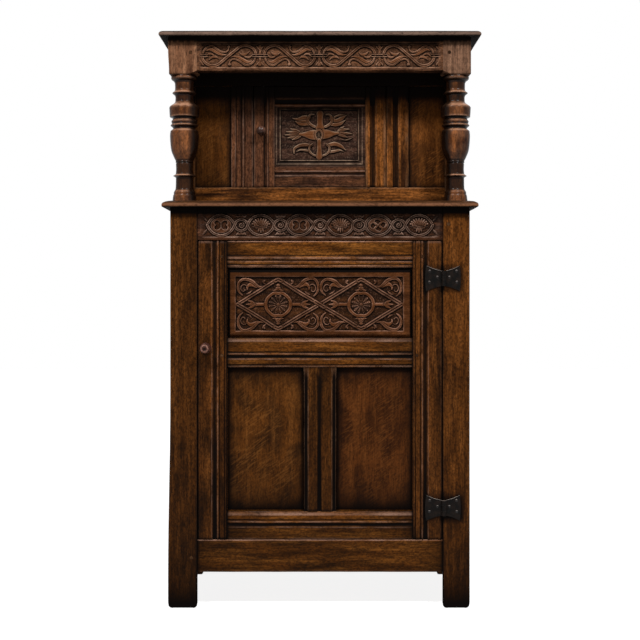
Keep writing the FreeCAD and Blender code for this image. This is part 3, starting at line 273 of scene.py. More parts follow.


# Waxed oak: soft patches, fine grain lines, mottling, pores, quartered figure, dirt with painted
# shade, and wear with painted highlights.
def oak(tone, axis, seed, figure=0.0, gloss=0.40, shine=0.035, dull=0.75, bump_strength=0.4, grain=0.85):
    key = (tone, axis, seed, figure)
    if key in made_oaks:
        return made_oaks[key]
    dark, middle, light, worn = (linear(*colour) for colour in TONES[tone])
    material, tree, shader = tree_of("oak_%s_%s_%d" % (tone, axis, seed))
    coords = tree.nodes.new("ShaderNodeTexCoord").outputs["Object"]
    patches = grain_noise(tree, coords, axis, 9.0 if figure else 4.0, 13.0, 4.0, seed, 0.8)
    streaks = grain_noise(tree, coords, axis, 6.0, 70.0, 4.0, seed + 3, 0.4)
    lines = grain_noise(tree, coords, axis, 22.0, 330.0, 4.0, seed + 5, 0.3)
    mottle = grain_noise(tree, coords, axis, 120.0, 210.0, 4.0, seed + 7, 0.9)
    pores = grain_noise(tree, coords, axis, 70.0, 520.0, 2.0, seed + 9)
    colour = blend_colours(tree, ramp(tree, patches, 0.34, 0.64), dark, middle)
    streaked = math_node(tree, "MULTIPLY", ramp(tree, streaks, 0.42, 0.72), 0.25 if figure else 0.6)
    colour = blend_colours(tree, streaked, colour, light)
    if figure:
        grain = 0.6
    for field, low, high, down, up in ((lines, 0.30, 0.68, -0.45, 0.36), (mottle, 0.34, 0.64, -0.52, 0.40)):
        darker = contrast(down * grain)
        lighter = contrast(up * grain)
        shades = blend_colours(tree, ramp(tree, field, low, high), darker, lighter)
        colour = blend_colours(tree, 1.0, colour, shades, "MULTIPLY")
    if figure:
        rays = grain_noise(tree, coords, axis, 330.0, 44.0, 2.0, seed + 11, 0.6, 0.62)
        zones = grain_noise(tree, coords, axis, 9.0, 16.0, 2.0, seed + 13)
        flecks = math_node(tree, "MULTIPLY", ramp(tree, rays, 0.50, 0.62), ramp(tree, zones, 0.34, 0.56))
        colour = blend_colours(tree, math_node(tree, "MULTIPLY", flecks, figure), colour, light)
    pore = math_node(tree, "MULTIPLY", ramp(tree, pores, 0.60, 0.70), 0.6)
    colour = blend_colours(tree, pore, colour, DIRT_AND_SHADE)
    wear, dirt, gold = (mark_on(tree, mark) for mark in ("wear", "dirt", "gold"))
    colour = blend_colours(tree, math_node(tree, "MULTIPLY", gold, 0.7), colour, GOLD)
    # Worn places and painted highlights take the paler worn colour.
    rubbed_and_lit = math_node(tree, "MULTIPLY", wear, ramp(tree, mottle, 0.15, 0.55), True)
    colour = blend_colours(tree, rubbed_and_lit, colour, worn)
    # Dirt and painted shade turn the wood towards black.
    colour = blend_colours(tree, dirt, colour, DIRT_AND_SHADE)
    tree.links.new(colour, shader.inputs["Base Color"])
    rough = math_node(tree, "MULTIPLY_ADD", ramp(tree, mottle, 0.2, 0.8), 0.16 if gloss > 0.3 else 0.06)
    rough.node.inputs[2].default_value = gloss - 0.05
    rough = math_node(tree, "MAXIMUM", rough, math_node(tree, "MULTIPLY", dirt, dull))
    tree.links.new(rough, shader.inputs["Roughness"])
    raised = math_node(tree, "ADD", math_node(tree, "MULTIPLY", lines, 0.5), streaks)
    relief = math_node(tree, "SUBTRACT", raised, pore)
    bump = add(tree, "ShaderNodeBump", Strength=bump_strength, Distance=0.0007)
    tree.links.new(relief, bump.inputs["Height"])
    tree.links.new(bump.outputs[0], shader.inputs["Normal"])
    shader.inputs["Specular IOR Level"].default_value = shine
    made_oaks[key] = material
    return material


# Each oak tone: dark, middle and light wood, and the paler colour of worn places and painted highlights
TONES = {
    "post": ((34, 17, 5), (72, 40, 13), (104, 61, 24), (124, 88, 64)),
    "warm": ((42, 21, 6), (86, 48, 16), (118, 70, 30), (128, 92, 68)),
    "stile": ((38, 19, 5), (84, 47, 17), (112, 66, 28), (146, 110, 92)),
    "rail": ((48, 25, 6), (98, 55, 17), (140, 86, 34), (158, 120, 100)),
    "low": ((32, 16, 4), (66, 36, 11), (96, 57, 22), (122, 92, 72)),
    "panel": ((50, 27, 8), (84, 47, 15), (122, 76, 34), (116, 80, 52)),
    "red_panel": ((46, 22, 7), (76, 40, 14), (110, 64, 28), (108, 72, 46)),
    "carved": ((34, 18, 9), (66, 38, 19), (98, 58, 30), (156, 114, 92)),
    "waist": ((36, 20, 13), (68, 40, 25), (94, 57, 36), (164, 132, 114)),
    "frieze": ((52, 32, 21), (100, 65, 43), (138, 93, 64), (160, 122, 98)),
    "block": ((66, 40, 26), (118, 80, 56), (156, 112, 82), (166, 130, 108)),
    "dull_block": ((54, 36, 26), (98, 70, 53), (132, 98, 76), (150, 120, 102)),
    "column": ((42, 20, 8), (98, 54, 24), (144, 86, 44), (158, 116, 90)),
    "ledge": ((44, 26, 13), (78, 49, 27), (112, 72, 42), (134, 90, 64)),
    "cornice": ((34, 26, 20), (62, 48, 38), (92, 74, 60), (122, 98, 85)),
    "mauve": ((40, 24, 16), (80, 49, 32), (112, 70, 44), (140, 112, 96)),
    "recess": ((48, 25, 9), (100, 57, 22), (152, 92, 42), (142, 110, 84)),
    "hatch": ((32, 20, 16), (64, 42, 33), (94, 64, 49), (162, 134, 110)),
    "ball": ((40, 24, 18), (80, 52, 40), (112, 78, 62), (150, 118, 104)),
    # Dusty back, floor and shelf boards, painted lighter to stand in for light the front lamps don't give
    # them
    "dusty": ((74, 53, 36), (118, 90, 64), (150, 120, 90), (160, 136, 112)),
    "knob": ((30, 12, 7), (66, 33, 23), (98, 56, 42), (158, 114, 98)),
    "peg": ((30, 17, 9), (58, 36, 20), (86, 60, 38), (110, 84, 60)),
}


def iron(name, seed, worn, shine):
    material, tree, shader = tree_of(name)
    coords = tree.nodes.new("ShaderNodeTexCoord").outputs["Object"]
    blotch = grain_noise(tree, coords, "x", 70.0, 60.0, 5.0, seed)
    pits = grain_noise(tree, coords, "x", 380.0, 420.0, 3.0, seed + 2)
    colour = blend_colours(tree, ramp(tree, blotch, 0.35, 0.7), linear(9, 8, 7), linear(26, 19, 15))
    # Faces that look up are blended to the paler colour given as worn: a painted highlight along the tops.
    upward = tree.nodes.new("ShaderNodeSeparateXYZ")
    tree.links.new(tree.nodes.new("ShaderNodeNewGeometry").outputs["Normal"], upward.inputs[0])
    colour = blend_colours(tree, ramp(tree, upward.outputs[2], 0.25, 0.8), colour, worn)
    tree.links.new(colour, shader.inputs["Base Color"])
    shader.inputs["Metallic"].default_value = 0.0
    shader.inputs["Specular IOR Level"].default_value = shine
    rough = math_node(tree, "ADD", math_node(tree, "MULTIPLY", pits, 0.3), 0.32)
    tree.links.new(rough, shader.inputs["Roughness"])
    bump = add(tree, "ShaderNodeBump", Strength=0.5, Distance=0.0006)
    tree.links.new(math_node(tree, "ADD", blotch, pits), bump.inputs["Height"])
    tree.links.new(bump.outputs[0], shader.inputs["Normal"])
    return material


# A moulding is a list of (kind, centre, width, size), with centres from the member's low edge.
# Coves and quirks are hollows, lines and beads stand proud, and a slope_low, slope_high or lit_high
# runs down to the member's low or high edge. The result is the depth below the face, the wear with
# painted highlights on lines, beads and slopes, and the dirt with painted shade in coves, quirks
# and down the slopes.
def moulding(u, features, t, seed):
    depth = np.zeros(np.broadcast(u, t).shape)
    wear = np.zeros(depth.shape)
    dirt = np.zeros(depth.shape)
    for number, (kind, centre, width, size) in enumerate(features):
        drift = 0.5 * noise(t / 70.0, 0.0, number, seed + 31)
        vary = 1.0 + 0.22 * noise(t / 45.0, 3.0, number, seed + 37)
        s = (u - centre - drift) / (width / 2.0)
        inside = np.clip(1.0 - s * s, 0.0, None)
        broken = 0.62 + 0.55 * noise(t / 22.0, 5.0, number, seed + 41)
        # Hollows take dirt and painted shade, proud lines and beads wear and a painted highlight.
        if kind == "cove":
            depth += size * vary * inside
            dirt += 0.92 * inside ** 0.35
        elif kind == "quirk":
            depth += size * vary * bell(s, 0.8)
            dirt += 0.97 * bell(s, 1.0)
        elif kind == "line":
            depth -= size * vary * bell(s, 0.7)
            wear += broken * bell(s, 0.8)
        elif kind == "bead":
            depth -= size * vary * np.sqrt(inside)
            wear += 0.8 * broken * bell(s, 0.5)
        else:
            outward = -1.0 if kind == "slope_low" else 1.0
            run = np.clip(1.0 + outward * (u - centre) / width, 0.0, 1.0) * (outward * (u - centre) <= 1e-6)
            depth += size * vary * run
            if kind == "lit_high":
                lit = 0.55 + 0.45 * noise(t / 60.0, 7.0, number, seed + 43)
                wear += 1.1 * lit * bell(run - 0.25, 0.35) * (run > 0)
                dirt += 0.9 * ease((run - 0.7) / 0.3)
            else:
                wear += 0.30 * broken * ((run > 0) & (run < 1))
                dirt += 0.5 * run
    return depth, wear, dirt


def spaced(low, high, step, edge):
    count = max(2, int(round((high - low) / step)) + 1)
    inner = np.linspace(low, high, count)
    if edge <= 0:
        return inner
    fine = np.array([0.0, 0.12, 0.3, 0.6, 1.0]) * edge
    return np.unique(np.round(np.concatenate([inner, low + fine, high - fine]), 4))


BACK_ARRIS, BACK_DIRT, END_DIRT = 1.2, 0.15, 0.5
SIDE_SHARES = np.array([0.0, 0.35, 0.7, 1.0])
SIDE_POINTS, BACK_POINTS = len(SIDE_SHARES), 5
FLARE_TOP, FLARE_RUN = 560.0, 480.0


# A member is a bar along X or Z with a worked front face, worn arrises and wavy faces.
# Its section is a closed loop: the front from low to high, then one side, the back and the other.
# arris and end round its long edges and its two ends, and wave is how far its faces wander. rub wears
# its edges, its side dirt and painted shade darken its sides, end_shade paints shade at its ends, and
# lit_top paints a highlight along its top end. stretch lets the mouldings run out, flare spreads a
# foot, and trim moves points of the section sideways.
def member(name, body, span, axis, material, features=(), arris=2.2, end=0.9, wave=0.35, seed=1, nodes=(),
           stretch=None, shade=None, slot=None, step=7.0, flare=0.0, trim=None, rub=0.4,
           side_dirt_and_shade=(0.15, 0.15), end_shade=0.0, lit_top=0.0):
    x0, x1, y0, y1, z0, z1 = span
    u0, u1, t0, t1 = (z0, z1, x0, x1) if axis == "x" else (x0, x1, z0, z1)
    us = spaced(u0, u1, 1.1 if features or shade else 5.0, arris)
    ts = spaced(t0, t1, step, max(end) if isinstance(end, tuple) else end)
    side_y = y0 + arris + SIDE_SHARES * (y1 - BACK_ARRIS - y0 - arris)
    back_us = np.linspace(u1 - BACK_ARRIS, u0 + BACK_ARRIS, BACK_POINTS)
    section_u = np.concatenate([us, np.full(SIDE_POINTS, u1), back_us, np.full(SIDE_POINTS, u0)])
    section_y = np.concatenate([np.full(len(us), y0), side_y, np.full(BACK_POINTS, y1), side_y[::-1]])
    front = np.arange(len(section_u)) < len(us)
    U, T = np.meshgrid(section_u, ts, indexing="ij")
    Y = np.repeat(section_y[:, None], len(ts), axis=1)
    from_edge = np.minimum(U - u0, u1 - U)
    from_end = np.minimum(T - t0, t1 - T)
    worn = arris * (1.0 + 0.5 * noise(T / 38.0, U / 200.0, 1.0, seed + 3))
    nick = np.clip(noise(T / 9.0, U / 60.0, 2.0, seed + 5) - 0.55, 0.0, 1.0) * 2.4
    fall = arris_fall(from_edge, worn) + nick * bell(from_edge, 2.5)
    low_end, high_end = end if isinstance(end, tuple) else (end, end)
    near = np.where(T - t0 < t1 - T, low_end, high_end)
    end_fall = arris_fall(from_end, np.maximum(near, 0.01))
    depth, wear, dirt = moulding(U - u0, features, T, seed)
    wear = wear * (0.62 if axis == "z" else 0.95)
    if stretch:
        depth = depth * stretch(T)
        dirt = dirt * stretch(T)
    ripples = 0.12 * noise(U / 7.0, T / 24.0, 1.0, seed + 1)
    undulation = wave * layered(U / 60.0, T / 110.0, 0.0, seed) + ripples
    Y = np.where(front[:, None], Y + fall + depth + end_fall + undulation, Y)
    backside = (section_y > y1 - 1e-6)[:, None]
    Y = np.where(backside, Y - end_fall, Y)
    sway = wave * 0.8 * noise(T / 120.0, 4.0, 0.0, seed + 2) * (1.0 if high_end > 0.5 else 0.3)
    sideways = np.where(U > (u0 + u1) / 2, 1.0, -1.0)
    at_side = (from_edge < 1e-6)
    U = U + np.where(at_side, sideways * (sway - end_fall), 0.0)
    if flare:
        share = (U - u0) / (u1 - u0) if flare > 0 else (u1 - U) / (u1 - u0)
        U = U + flare * share * ease((FLARE_TOP - T) / FLARE_RUN)
    if trim:
        U = trim(U, T, Y)
    patches = 0.5 + 0.5 * noise(T / 30.0, U / 90.0, 6.0, seed + 8)
    edge_wear_and_highlight = rub * bell(from_edge - 0.4 * arris, 0.9 * arris) * patches
    # A painted highlight along the top end
    top_line = bell(t1 - T - 1.6, 1.5) * (0.8 + 0.2 * noise(U / 20.0, 0.0, 6.0, seed + 9))
    edge_wear_and_highlight = edge_wear_and_highlight + lit_top * top_line
    wear = np.where(front[:, None], wear + np.clip(edge_wear_and_highlight, 0, 1), 0.0)
    # Sides and back take dirt and painted shade.
    sides = np.concatenate([np.zeros(len(us)), np.full(SIDE_POINTS, side_dirt_and_shade[1]),
                            np.full(BACK_POINTS, BACK_DIRT), np.full(SIDE_POINTS, side_dirt_and_shade[0])])
    dirt = np.where(front[:, None], dirt + end_shade * np.exp(-from_end / 42.0), sides[:, None])
    dirt = dirt + END_DIRT * bell(from_end, 3.5)
    if shade:
        dirt = dirt + np.where(front[:, None], shade(U, T), 0.0)
    spread = [U, Y, T] if axis == "z" else [T, Y, U]
    points = np.stack([c.T.ravel() for c in spread], axis=1)
    faces = loft_faces(len(ts), len(section_u), flip=axis == "x")
    return make_piece(name, points, faces, body, material, nodes,
                      {"wear": wear.T.ravel(), "dirt": dirt.T.ravel()})


# Bars of one frame: their names and nodes share a stem, and the wood's seed gives the shape's.
def framing(stem, node_stem, body):
    def bar(part, span, axis, tone, number, features=(), figure=0.0, **looks):
        looks.setdefault("seed", number + 1)
        member(stem + part, body, span, axis, oak(tone, axis, number, figure), features,
               nodes=[node_stem + part], **looks)
    return bar


# A carved board: its front is a fine grid of depths, its sides and back are plain, darkened by
# dirt and painted shade.
def carved_board(name, body, xs, zs, Y, back, material, nodes, marks, back_dirt_and_shade):
    nx, nz = len(xs), len(zs)
    X, Z = np.meshgrid(xs, zs, indexing="ij")
    points = np.stack([X.ravel(), Y.ravel(), Z.ravel()], axis=1)
    index = np.arange(nx * nz).reshape(nx, nz)
    quads = np.stack([index[:-1, :-1], index[1:, :-1], index[1:, 1:], index[:-1, 1:]], axis=-1).reshape(-1, 4)
    rim = np.concatenate([index[:, 0], index[-1, 1:], index[-2::-1, -1], index[0, -2:0:-1]])
    rim_points = points[rim].copy()
    rim_points[:, 1] = back
    start = len(points)
    count = len(rim)
    order = np.arange(count)
    after = (order + 1) % count
    walls = np.stack([rim[order], start + order, start + after, rim[after]], axis=1)
    faces = quads.tolist() + walls.tolist() + [tuple(range(start + count - 1, start - 1, -1))]
    spread = {}
    for mark, values in marks.items():
        spread[mark] = np.concatenate([values.ravel(), np.full(count, back_dirt_and_shade if mark == "dirt" else 0.0)])
    return make_piece(name, np.concatenate([points, rim_points]), faces, body, material, nodes, spread)


# Turned work: a profile of (along, radius) revolved about an axis, slightly out of round.
def turned(name, body, centre, profile, axis, material, nodes=(), wobble=0.25, seed=1, sides=56,
           shade=None, lit=None, round_shade=None):
    along = np.array([p[0] for p in profile], float)
    radius = np.array([p[1] for p in profile], float)
    angles = np.linspace(0.0, 2.0 * math.pi, sides, endpoint=False)
    R = np.repeat(radius[:, None], sides, axis=1)
    A = np.repeat(along[:, None], sides, axis=1)
    C, S = np.cos(angles)[None, :], np.sin(angles)[None, :]
    R = R + wobble * layered(C * 1.3 + 5, S * 1.3, A / 34.0, seed) * np.minimum(1.0, R / 12.0)
    smooth = np.convolve(np.pad(radius, 6, mode="edge"), np.ones(13) / 13.0, "valid")
    crest = np.clip((radius - smooth) / 2.5, -1.0, 1.0)
    spots = 0.5 + 0.5 * noise(C * 2.2, S * 2.2, A / 14.0, seed + 4)
    wear = np.clip(crest[:, None], 0, 1) * (0.5 + 0.5 * spots) + 0.15 * spots
    lean = np.gradient(radius) / np.maximum(np.abs(np.gradient(along)), 0.05)
    lean = lean / np.sqrt(1.0 + lean * lean) * (1.0 if axis == "z" else 0.0)
    # Slopes that face up take a painted highlight, slopes that face down and hollows a painted shade.
    wear = wear + 0.75 * ease((-lean[:, None] - 0.35) / 0.5) * (0.5 + 0.5 * spots)
    dirt = np.clip(-crest[:, None] * 1.1, 0, 1) + 0.8 * ease((lean[:, None] - 0.25) / 0.5)
    dirt = dirt.repeat(sides, axis=1)
    if shade:
        dirt = np.maximum(dirt, shade(A, R))
    if round_shade:
        dirt = np.maximum(dirt, round_shade(C, S))
    if lit:
        wear = np.maximum(wear, lit(A, R) * (0.6 + 0.4 * spots))
    if axis == "z":
        points = np.stack([centre[0] + R * C, centre[1] + R * S, A], axis=-1).reshape(-1, 3)
    else:
        points = np.stack([centre[0] + R * C, A, centre[2] - R * S], axis=-1).reshape(-1, 3)
    return make_piece(name, points, loft_faces(len(along), sides), body, material, nodes,
                      {"wear": wear.ravel(), "dirt": dirt.ravel()}, math.radians(50))


# The weights of a soft average over neighbouring steps, and how many steps they reach
def soft_kernel(blur, step, tail):
    reach = max(1, int(round(tail * blur / step)))
    kernel = np.exp(-(np.arange(-reach, reach + 1) * step / blur) ** 2)
    return kernel / kernel.sum(), reach


# A profile drawn by a few points is filled in every step and softened a little.
def softened(points, step, blur):
    along = np.array([p[0] for p in points], float)
    radius = np.array([p[1] for p in points], float)
    fine = np.linspace(along[0], along[-1], max(4, int(abs(along[-1] - along[0]) / step) + 1))
    order = np.argsort(along)
    values = np.interp(fine, along[order], radius[order])
    kernel, reach = soft_kernel(blur, step, 2.5)
    values = np.convolve(np.pad(values, reach, mode="edge"), kernel, "valid")
    return list(zip(fine, values))


SLAB_STEP = 6.0


# A slab with a worked edge at the front and both ends: nested rings of (inset, height over its base).
def slab(name, body, half_width, front, back, rings, base, material, nodes, wave, seed):
    across = spaced(-half_width, half_width, SLAB_STEP, 0.0)
    deep = spaced(front, back, SLAB_STEP, 0.0)
    outline = [(x, front) for x in across] + [(half_width, y) for y in deep[1:]]
    outline += [(x, back) for x in across[::-1][1:]] + [(-half_width, y) for y in deep[::-1][1:-1]]
    outline = np.array(outline)
    along = np.concatenate([[0.0], np.cumsum(np.hypot(*np.diff(outline, axis=0).T))])
    points, wear, dirt = [], [], []
    for inset, height in rings:
        level = base + height
        squeeze = (half_width - inset) / half_width
        run = (back - front - inset) / (back - front)
        x = outline[:, 0] * squeeze
        y = back - (back - outline[:, 1]) * run
        sway = wave * layered(along / 90.0, inset / 40.0, 0.0, seed) * np.exp(-inset / 30.0)
        x = x * (1.0 - np.abs(sway) / half_width)
        y = y + np.where(outline[:, 1] <= front + 1e-6, np.abs(sway), 0.0)
        z = level + 0.5 * wave * noise(along / 60.0, inset / 30.0, level, seed + 3) * (0.0 < inset < 60.0)
        points.append(np.stack([x, y, z], axis=1))
        spots = 0.5 + 0.5 * noise(along / 26.0, inset / 9.0, level, seed + 5)
        # The nose of the edge takes wear and a painted highlight, the underside is painted black as shade,
        # and the rest holds dirt.
        lit = math.exp(-((height - 5.5) / 3.6) ** 2)
        wear.append((0.55 + 0.45 * spots) * lit + 0.12 * spots)
        dirt.append(np.full(len(x), 1.0) if height < 1.0 else (0.30 + 0.25 * spots) * (1.0 - lit))
    marks = {"wear": np.concatenate(wear), "dirt": np.concatenate(dirt)}
    faces = loft_faces(len(rings), len(outline))
    return make_piece(name, np.concatenate(points), faces, body, material, nodes, marks)


# Painted shade darkens the posts towards the feet; post_shade adds a painted shadow under the ledge.
def painted_low_shade(level):
    return 0.62 * np.exp(-(np.maximum(level, 0.0) / 250.0) ** 2)


# Iron and wax blacken the wood round each hinge.
def hinge_grime(u, t):
    grime = 0.0
    for level in HINGE_LEVELS:
        above = np.maximum(abs(t - level) - 26.0, 0.0)
        beside = np.maximum(abs(u - HINGE_X) - 46.0, 0.0)
        grime = grime + 0.62 * bell(np.hypot(above, beside), 11.0)
    return grime


# Painted shade on the posts: darker towards the feet and a painted shadow under the ledge; a dark joint line
# along the inner edge and the grime round the hinges.
def post_shade(u, t):
    joint = 0.9 * bell(abs(u) - POST_IN, 2.8) + hinge_grime(u, t)
    return 0.13 + painted_low_shade(t) + 0.27 * ease((90.0 - t) / 90.0) + 0.95 * ease((t - 1030.0) / 14.0) + joint


# The feet are rounded at their lower corners, and taper a little towards the back.
def foot_shape(u0, u1, inner):
    def shaped(u, t, y):
        inset = arris_fall(t, 13.0)
        taper = 7.5 * ease((94.0 - t) / 10.0) * np.clip((y - 4.0) / 40.0, 0.0, 1.0)
        low = u0 + np.maximum(inset, taper if inner == u0 else 0.0)
        high = u1 - np.maximum(inset, taper if inner == u1 else 0.0)
        return np.clip(u, low, high)
    return shaped


posts = []
for side, word in SIDES:
    x0, x1 = sorted((side * POST_IN, side * POST_OUT))
    flare = FOOT_FLARE if side < 0 else 0.0
    posts.append(member("post_" + word, "carcase", (x0, x1, 0, POST_BACK, 0, LEDGE_LOW - 0.2), "z",
                        oak("post", "z", 3) if side < 0 else oak("warm", "z", 8), end=(5.0, 0.2), wave=0.5,
                        seed=14 + 3 * side, nodes=["front_%s_post" % word], shade=post_shade, flare=-flare,
                        trim=foot_shape(x0 - flare, x1, side * POST_IN),
                        # painted shade blackens the inner side of each post
                        side_dirt_and_shade=(0.25, 1.0) if side < 0 else (1.0, 0.25)))


# The lower knob's latch swings into a slot in the left post.
def cut_box(piece, low, high):
    mesh = bpy.data.meshes.new("cutter")
    corners = [(x, y, z) for x in (low[0], high[0]) for y in (low[1], high[1]) for z in (low[2], high[2])]
    faces = [(0, 1, 3, 2), (4, 6, 7, 5), (0, 4, 5, 1), (2, 3, 7, 6), (0, 2, 6, 4), (1, 5, 7, 3)]
    mesh.from_pydata(place(corners).tolist(), [], faces)
    cutter = bpy.data.objects.new("cutter", mesh)
    bpy.context.scene.collection.objects.link(cutter)
    modifier = piece.modifiers.new("slot", "BOOLEAN")
    modifier.operation = "DIFFERENCE"
    modifier.solver = "EXACT"
    modifier.object = cutter
    bpy.context.view_layer.update()
    cut = bpy.data.meshes.new_from_object(piece.evaluated_get(bpy.context.evaluated_depsgraph_get()))
    piece.modifiers.clear()
    piece.data = cut
    bpy.data.objects.remove(cutter)


cut_box(posts[0], LATCH_SLOT_LOW, LATCH_SLOT_HIGH)


def bottom_rail_shade(u, t):
    return (0.46 + 0.35 * np.exp(-(POST_IN - abs(t)) / 45.0)) * ease((RAIL_TOP - 1.0 - u) / 5.0)


member("rail_bottom", "carcase", (-POST_IN, POST_IN, RAIL_FRONT, RAIL_BACK, RAIL_LOW, RAIL_TOP), "x",
       oak("rail", "x", 21), [("line", 84.3, 2.6, 0.3)], arris=2.4, end=0.0, wave=0.6, seed=23,
       nodes=["front_bottom_rail"], rub=0.8, shade=bottom_rail_shade)

# Ledge and cornice, each ring with its distance in from the edge and its height above the underside
LEDGE_RINGS = [(3.0, 0.0), (0.8, 0.6), (0.0, 3.5), (0.4, 7.5), (2.2, 10.6), (6.0, 13.0), (11.0, 15.0),
               (17.0, 16.6), (24.0, 17.8), (32.0, 18.5), (46.0, 18.5), (80.0, 18.5)]
CORNICE_RINGS = [(3.0, 0.0), (0.8, 1.0), (0.0, 3.5), (0.8, 7.0), (3.0, 10.2), (7.0, 12.8), (12.0, 14.4),
                 (18.0, 15.0), (32.0, 15.0), (60.0, 15.0)]
slab("ledge", "carcase", LEDGE_REACH, LEDGE_FRONT, LEDGE_BACK, LEDGE_RINGS, LEDGE_LOW,
     oak("ledge", "x", 31), ["ledge_board"], wave=0.9, seed=33)
slab("cornice", "carcase", CORNICE_REACH, CORNICE_FRONT, CORNICE_BACK, CORNICE_RINGS, CORNICE_LOW,
     oak("cornice", "x", 37), ["cornice_board"], wave=0.8, seed=39)

# The turned columns from the foot up: straight and round stretches, as shares of their height and radius
COLUMN_TURNING_SHARES = [
    ("straight", [(0.000, 0.80), (0.047, 0.75), (0.056, 0.71)]),
    ("round", [(0.056, 0.71), (0.075, 0.70), (0.098, 0.60), (0.134, 0.575)]),
    ("straight", [(0.134, 0.575), (0.190, 0.57), (0.203, 0.76), (0.218, 0.585)]),
    ("round", [(0.218, 0.585), (0.258, 0.56), (0.301, 0.575)]),
    ("straight", [(0.301, 0.575), (0.306, 0.535), (0.311, 0.60), (0.316, 0.60), (0.321, 0.57)]),
    ("round", [(0.321, 0.57), (0.352, 0.70), (0.412, 0.885), (0.512, 0.96), (0.563, 0.93)]),
    ("round", [(0.563, 0.93), (0.583, 0.75), (0.606, 0.93)]),
    ("round", [(0.606, 0.93), (0.622, 0.84), (0.640, 0.87), (0.655, 0.78)]),
    ("straight", [(0.655, 0.78), (0.667, 0.78), (0.673, 0.97)]),
    ("round", [(0.673, 0.97), (0.726, 1.00), (0.757, 0.98), (0.783, 0.70), (0.800, 0.61)]),
    ("round", [(0.800, 0.61), (0.842, 0.62), (0.866, 0.82)]),
    ("round", [(0.866, 0.82), (0.890, 0.64), (0.947, 0.635)]),
    ("straight", [(0.947, 0.635), (0.953, 0.68), (0.959, 0.68)]),
    ("round", [(0.959, 0.68), (0.975, 0.86), (0.989, 0.89), (1.000, 0.86)]),
]
COLUMN_RADIUS = 39.9


def column_profile():
    shares = np.concatenate([through(run, 8) if shape == "round" else np.array(run)
                             for shape, run in COLUMN_TURNING_SHARES])
    scaled = shares * (BLOCK_LOW - LEDGE_TOP, COLUMN_RADIUS) + (LEDGE_TOP, 0.0)
    return softened(scaled, 0.9, 0.8)


# Dirt and painted shade darken the necks, painted shade draws black lines at the rings and darkens
# below the bulb and under the block; the bulb and the drum are rubbed to the bare brown.
def neck_shade(height, radius):
    share = (height - LEDGE_TOP) / (BLOCK_LOW - LEDGE_TOP)
    grooves = 0.80 * ease((0.665 - radius / COLUMN_RADIUS) / 0.05)
    black_lines = 0.0
    for level_share in (0.176, 0.309, 0.583, 0.622, 0.661, 0.853, 0.952):
        black_lines = black_lines + 0.97 * bell(share - level_share, 0.0085)
    under_bulb = 0.35 * ease((0.42 - share) / 0.08) * ease((share - 0.30) / 0.02)
    under_block = 0.6 * ease((height - 1400.0) / 7.0)
    return np.maximum(np.maximum(grooves, under_block), black_lines + under_bulb)


# Painted shade darkens a column towards its outlines, most of all on the side of the recess.
def column_round_shade(side):
    def shade(c, s):
        outline = 0.97 * ease((0.70 + s) / 0.42) * (1.0 - 0.65 * ease((s - 0.10) / 0.45))
        inner = 0.94 * ease((-side * c - 0.30) / 0.42) * (1.0 - 0.55 * ease((s - 0.10) / 0.45))
        return np.maximum(outline, inner)
    return shade


# The block's inner foot runs up in a ramp to the frieze rail.
def block_ramp(side):
    def ramped(u, t, y):
        reach = BLOCK_IN + 19.0 * ease((FRIEZE_LOW + 1.0 - t) / 11.0)
        if side > 0:
            return np.maximum(u, reach)
        splay = 2.6 * ease((t - 1415.0) / 60.0) * np.clip((-u - BLOCK_IN) / (BLOCK_OUT - BLOCK_IN), 0.0, 1.0)
        return np.minimum(u - splay, -reach)
    return ramped


# A painted shadow of the cornice darkens the top of each block.
def block_shade(u, t):
    return 0.97 * ease((t - 1489.5 + 2.0 * noise(u / 5.0, 0.0, 0.0, 49)) / 8.0)


for side, word in SIDES:
    node = word + "_column"
    turned("column_" + word, "carcase", (side * COLUMN_X, COLUMN_Y), column_profile(), "z",
           oak("column", "z", 41 + side, gloss=0.25, shine=0.075, dull=0.22, bump_strength=0.15, grain=0.7),
           [node], 0.35, 43 + side, 72, shade=neck_shade, round_shade=column_round_shade(side))
    x0, x1 = sorted((side * BLOCK_IN, side * BLOCK_OUT))
    member("block_" + word, "carcase", (x0, x1, BLOCK_FRONT, BLOCK_BACK, BLOCK_LOW, CORNICE_LOW), "z",
           oak("block" if side < 0 else "dull_block", "z", 45 + side, grain=0.5), arris=1.0, end=(3.2, 0.3),
           wave=0.5, seed=47 + side, nodes=[node], step=2.5, slot="oak_turned", trim=block_ramp(side),
           shade=block_shade)


# A painted shadow darkens the recessed front of the upper cupboard under the frieze.
def painted_recess_shadow(u, t):
    level = np.where(abs(u) > 900.0, u, t)
    return 0.99 * ease((level - 1336.0) / 36.0)


# Painted shade darkens each recess panel along its muntin, its stile and its foot, under the painted shadow
# of the frieze.
def recess_panel_shade(side):
    def shade(u, t):
        inner = side * u - MUNTIN_OUT + 2.0 * noise(t / 40.0, 0.0, 0.0, 68)
        outer = STILE_IN - side * u
        low = t - PORCH_LOW + 4.0 * noise(u / 14.0, 0.0, 0.0, 69)
        light = (1.0 - 0.9 * bell(inner, 9.0)) * (1.0 - 0.35 * bell(inner, 24.0))
        light = light * (1.0 - 0.7 * bell(outer, 8.0)) * (1.0 - 0.75 * bell(low, 13.0)) * (1.0 - painted_recess_shadow(u, t))
        return 1.0 - light
    return shade


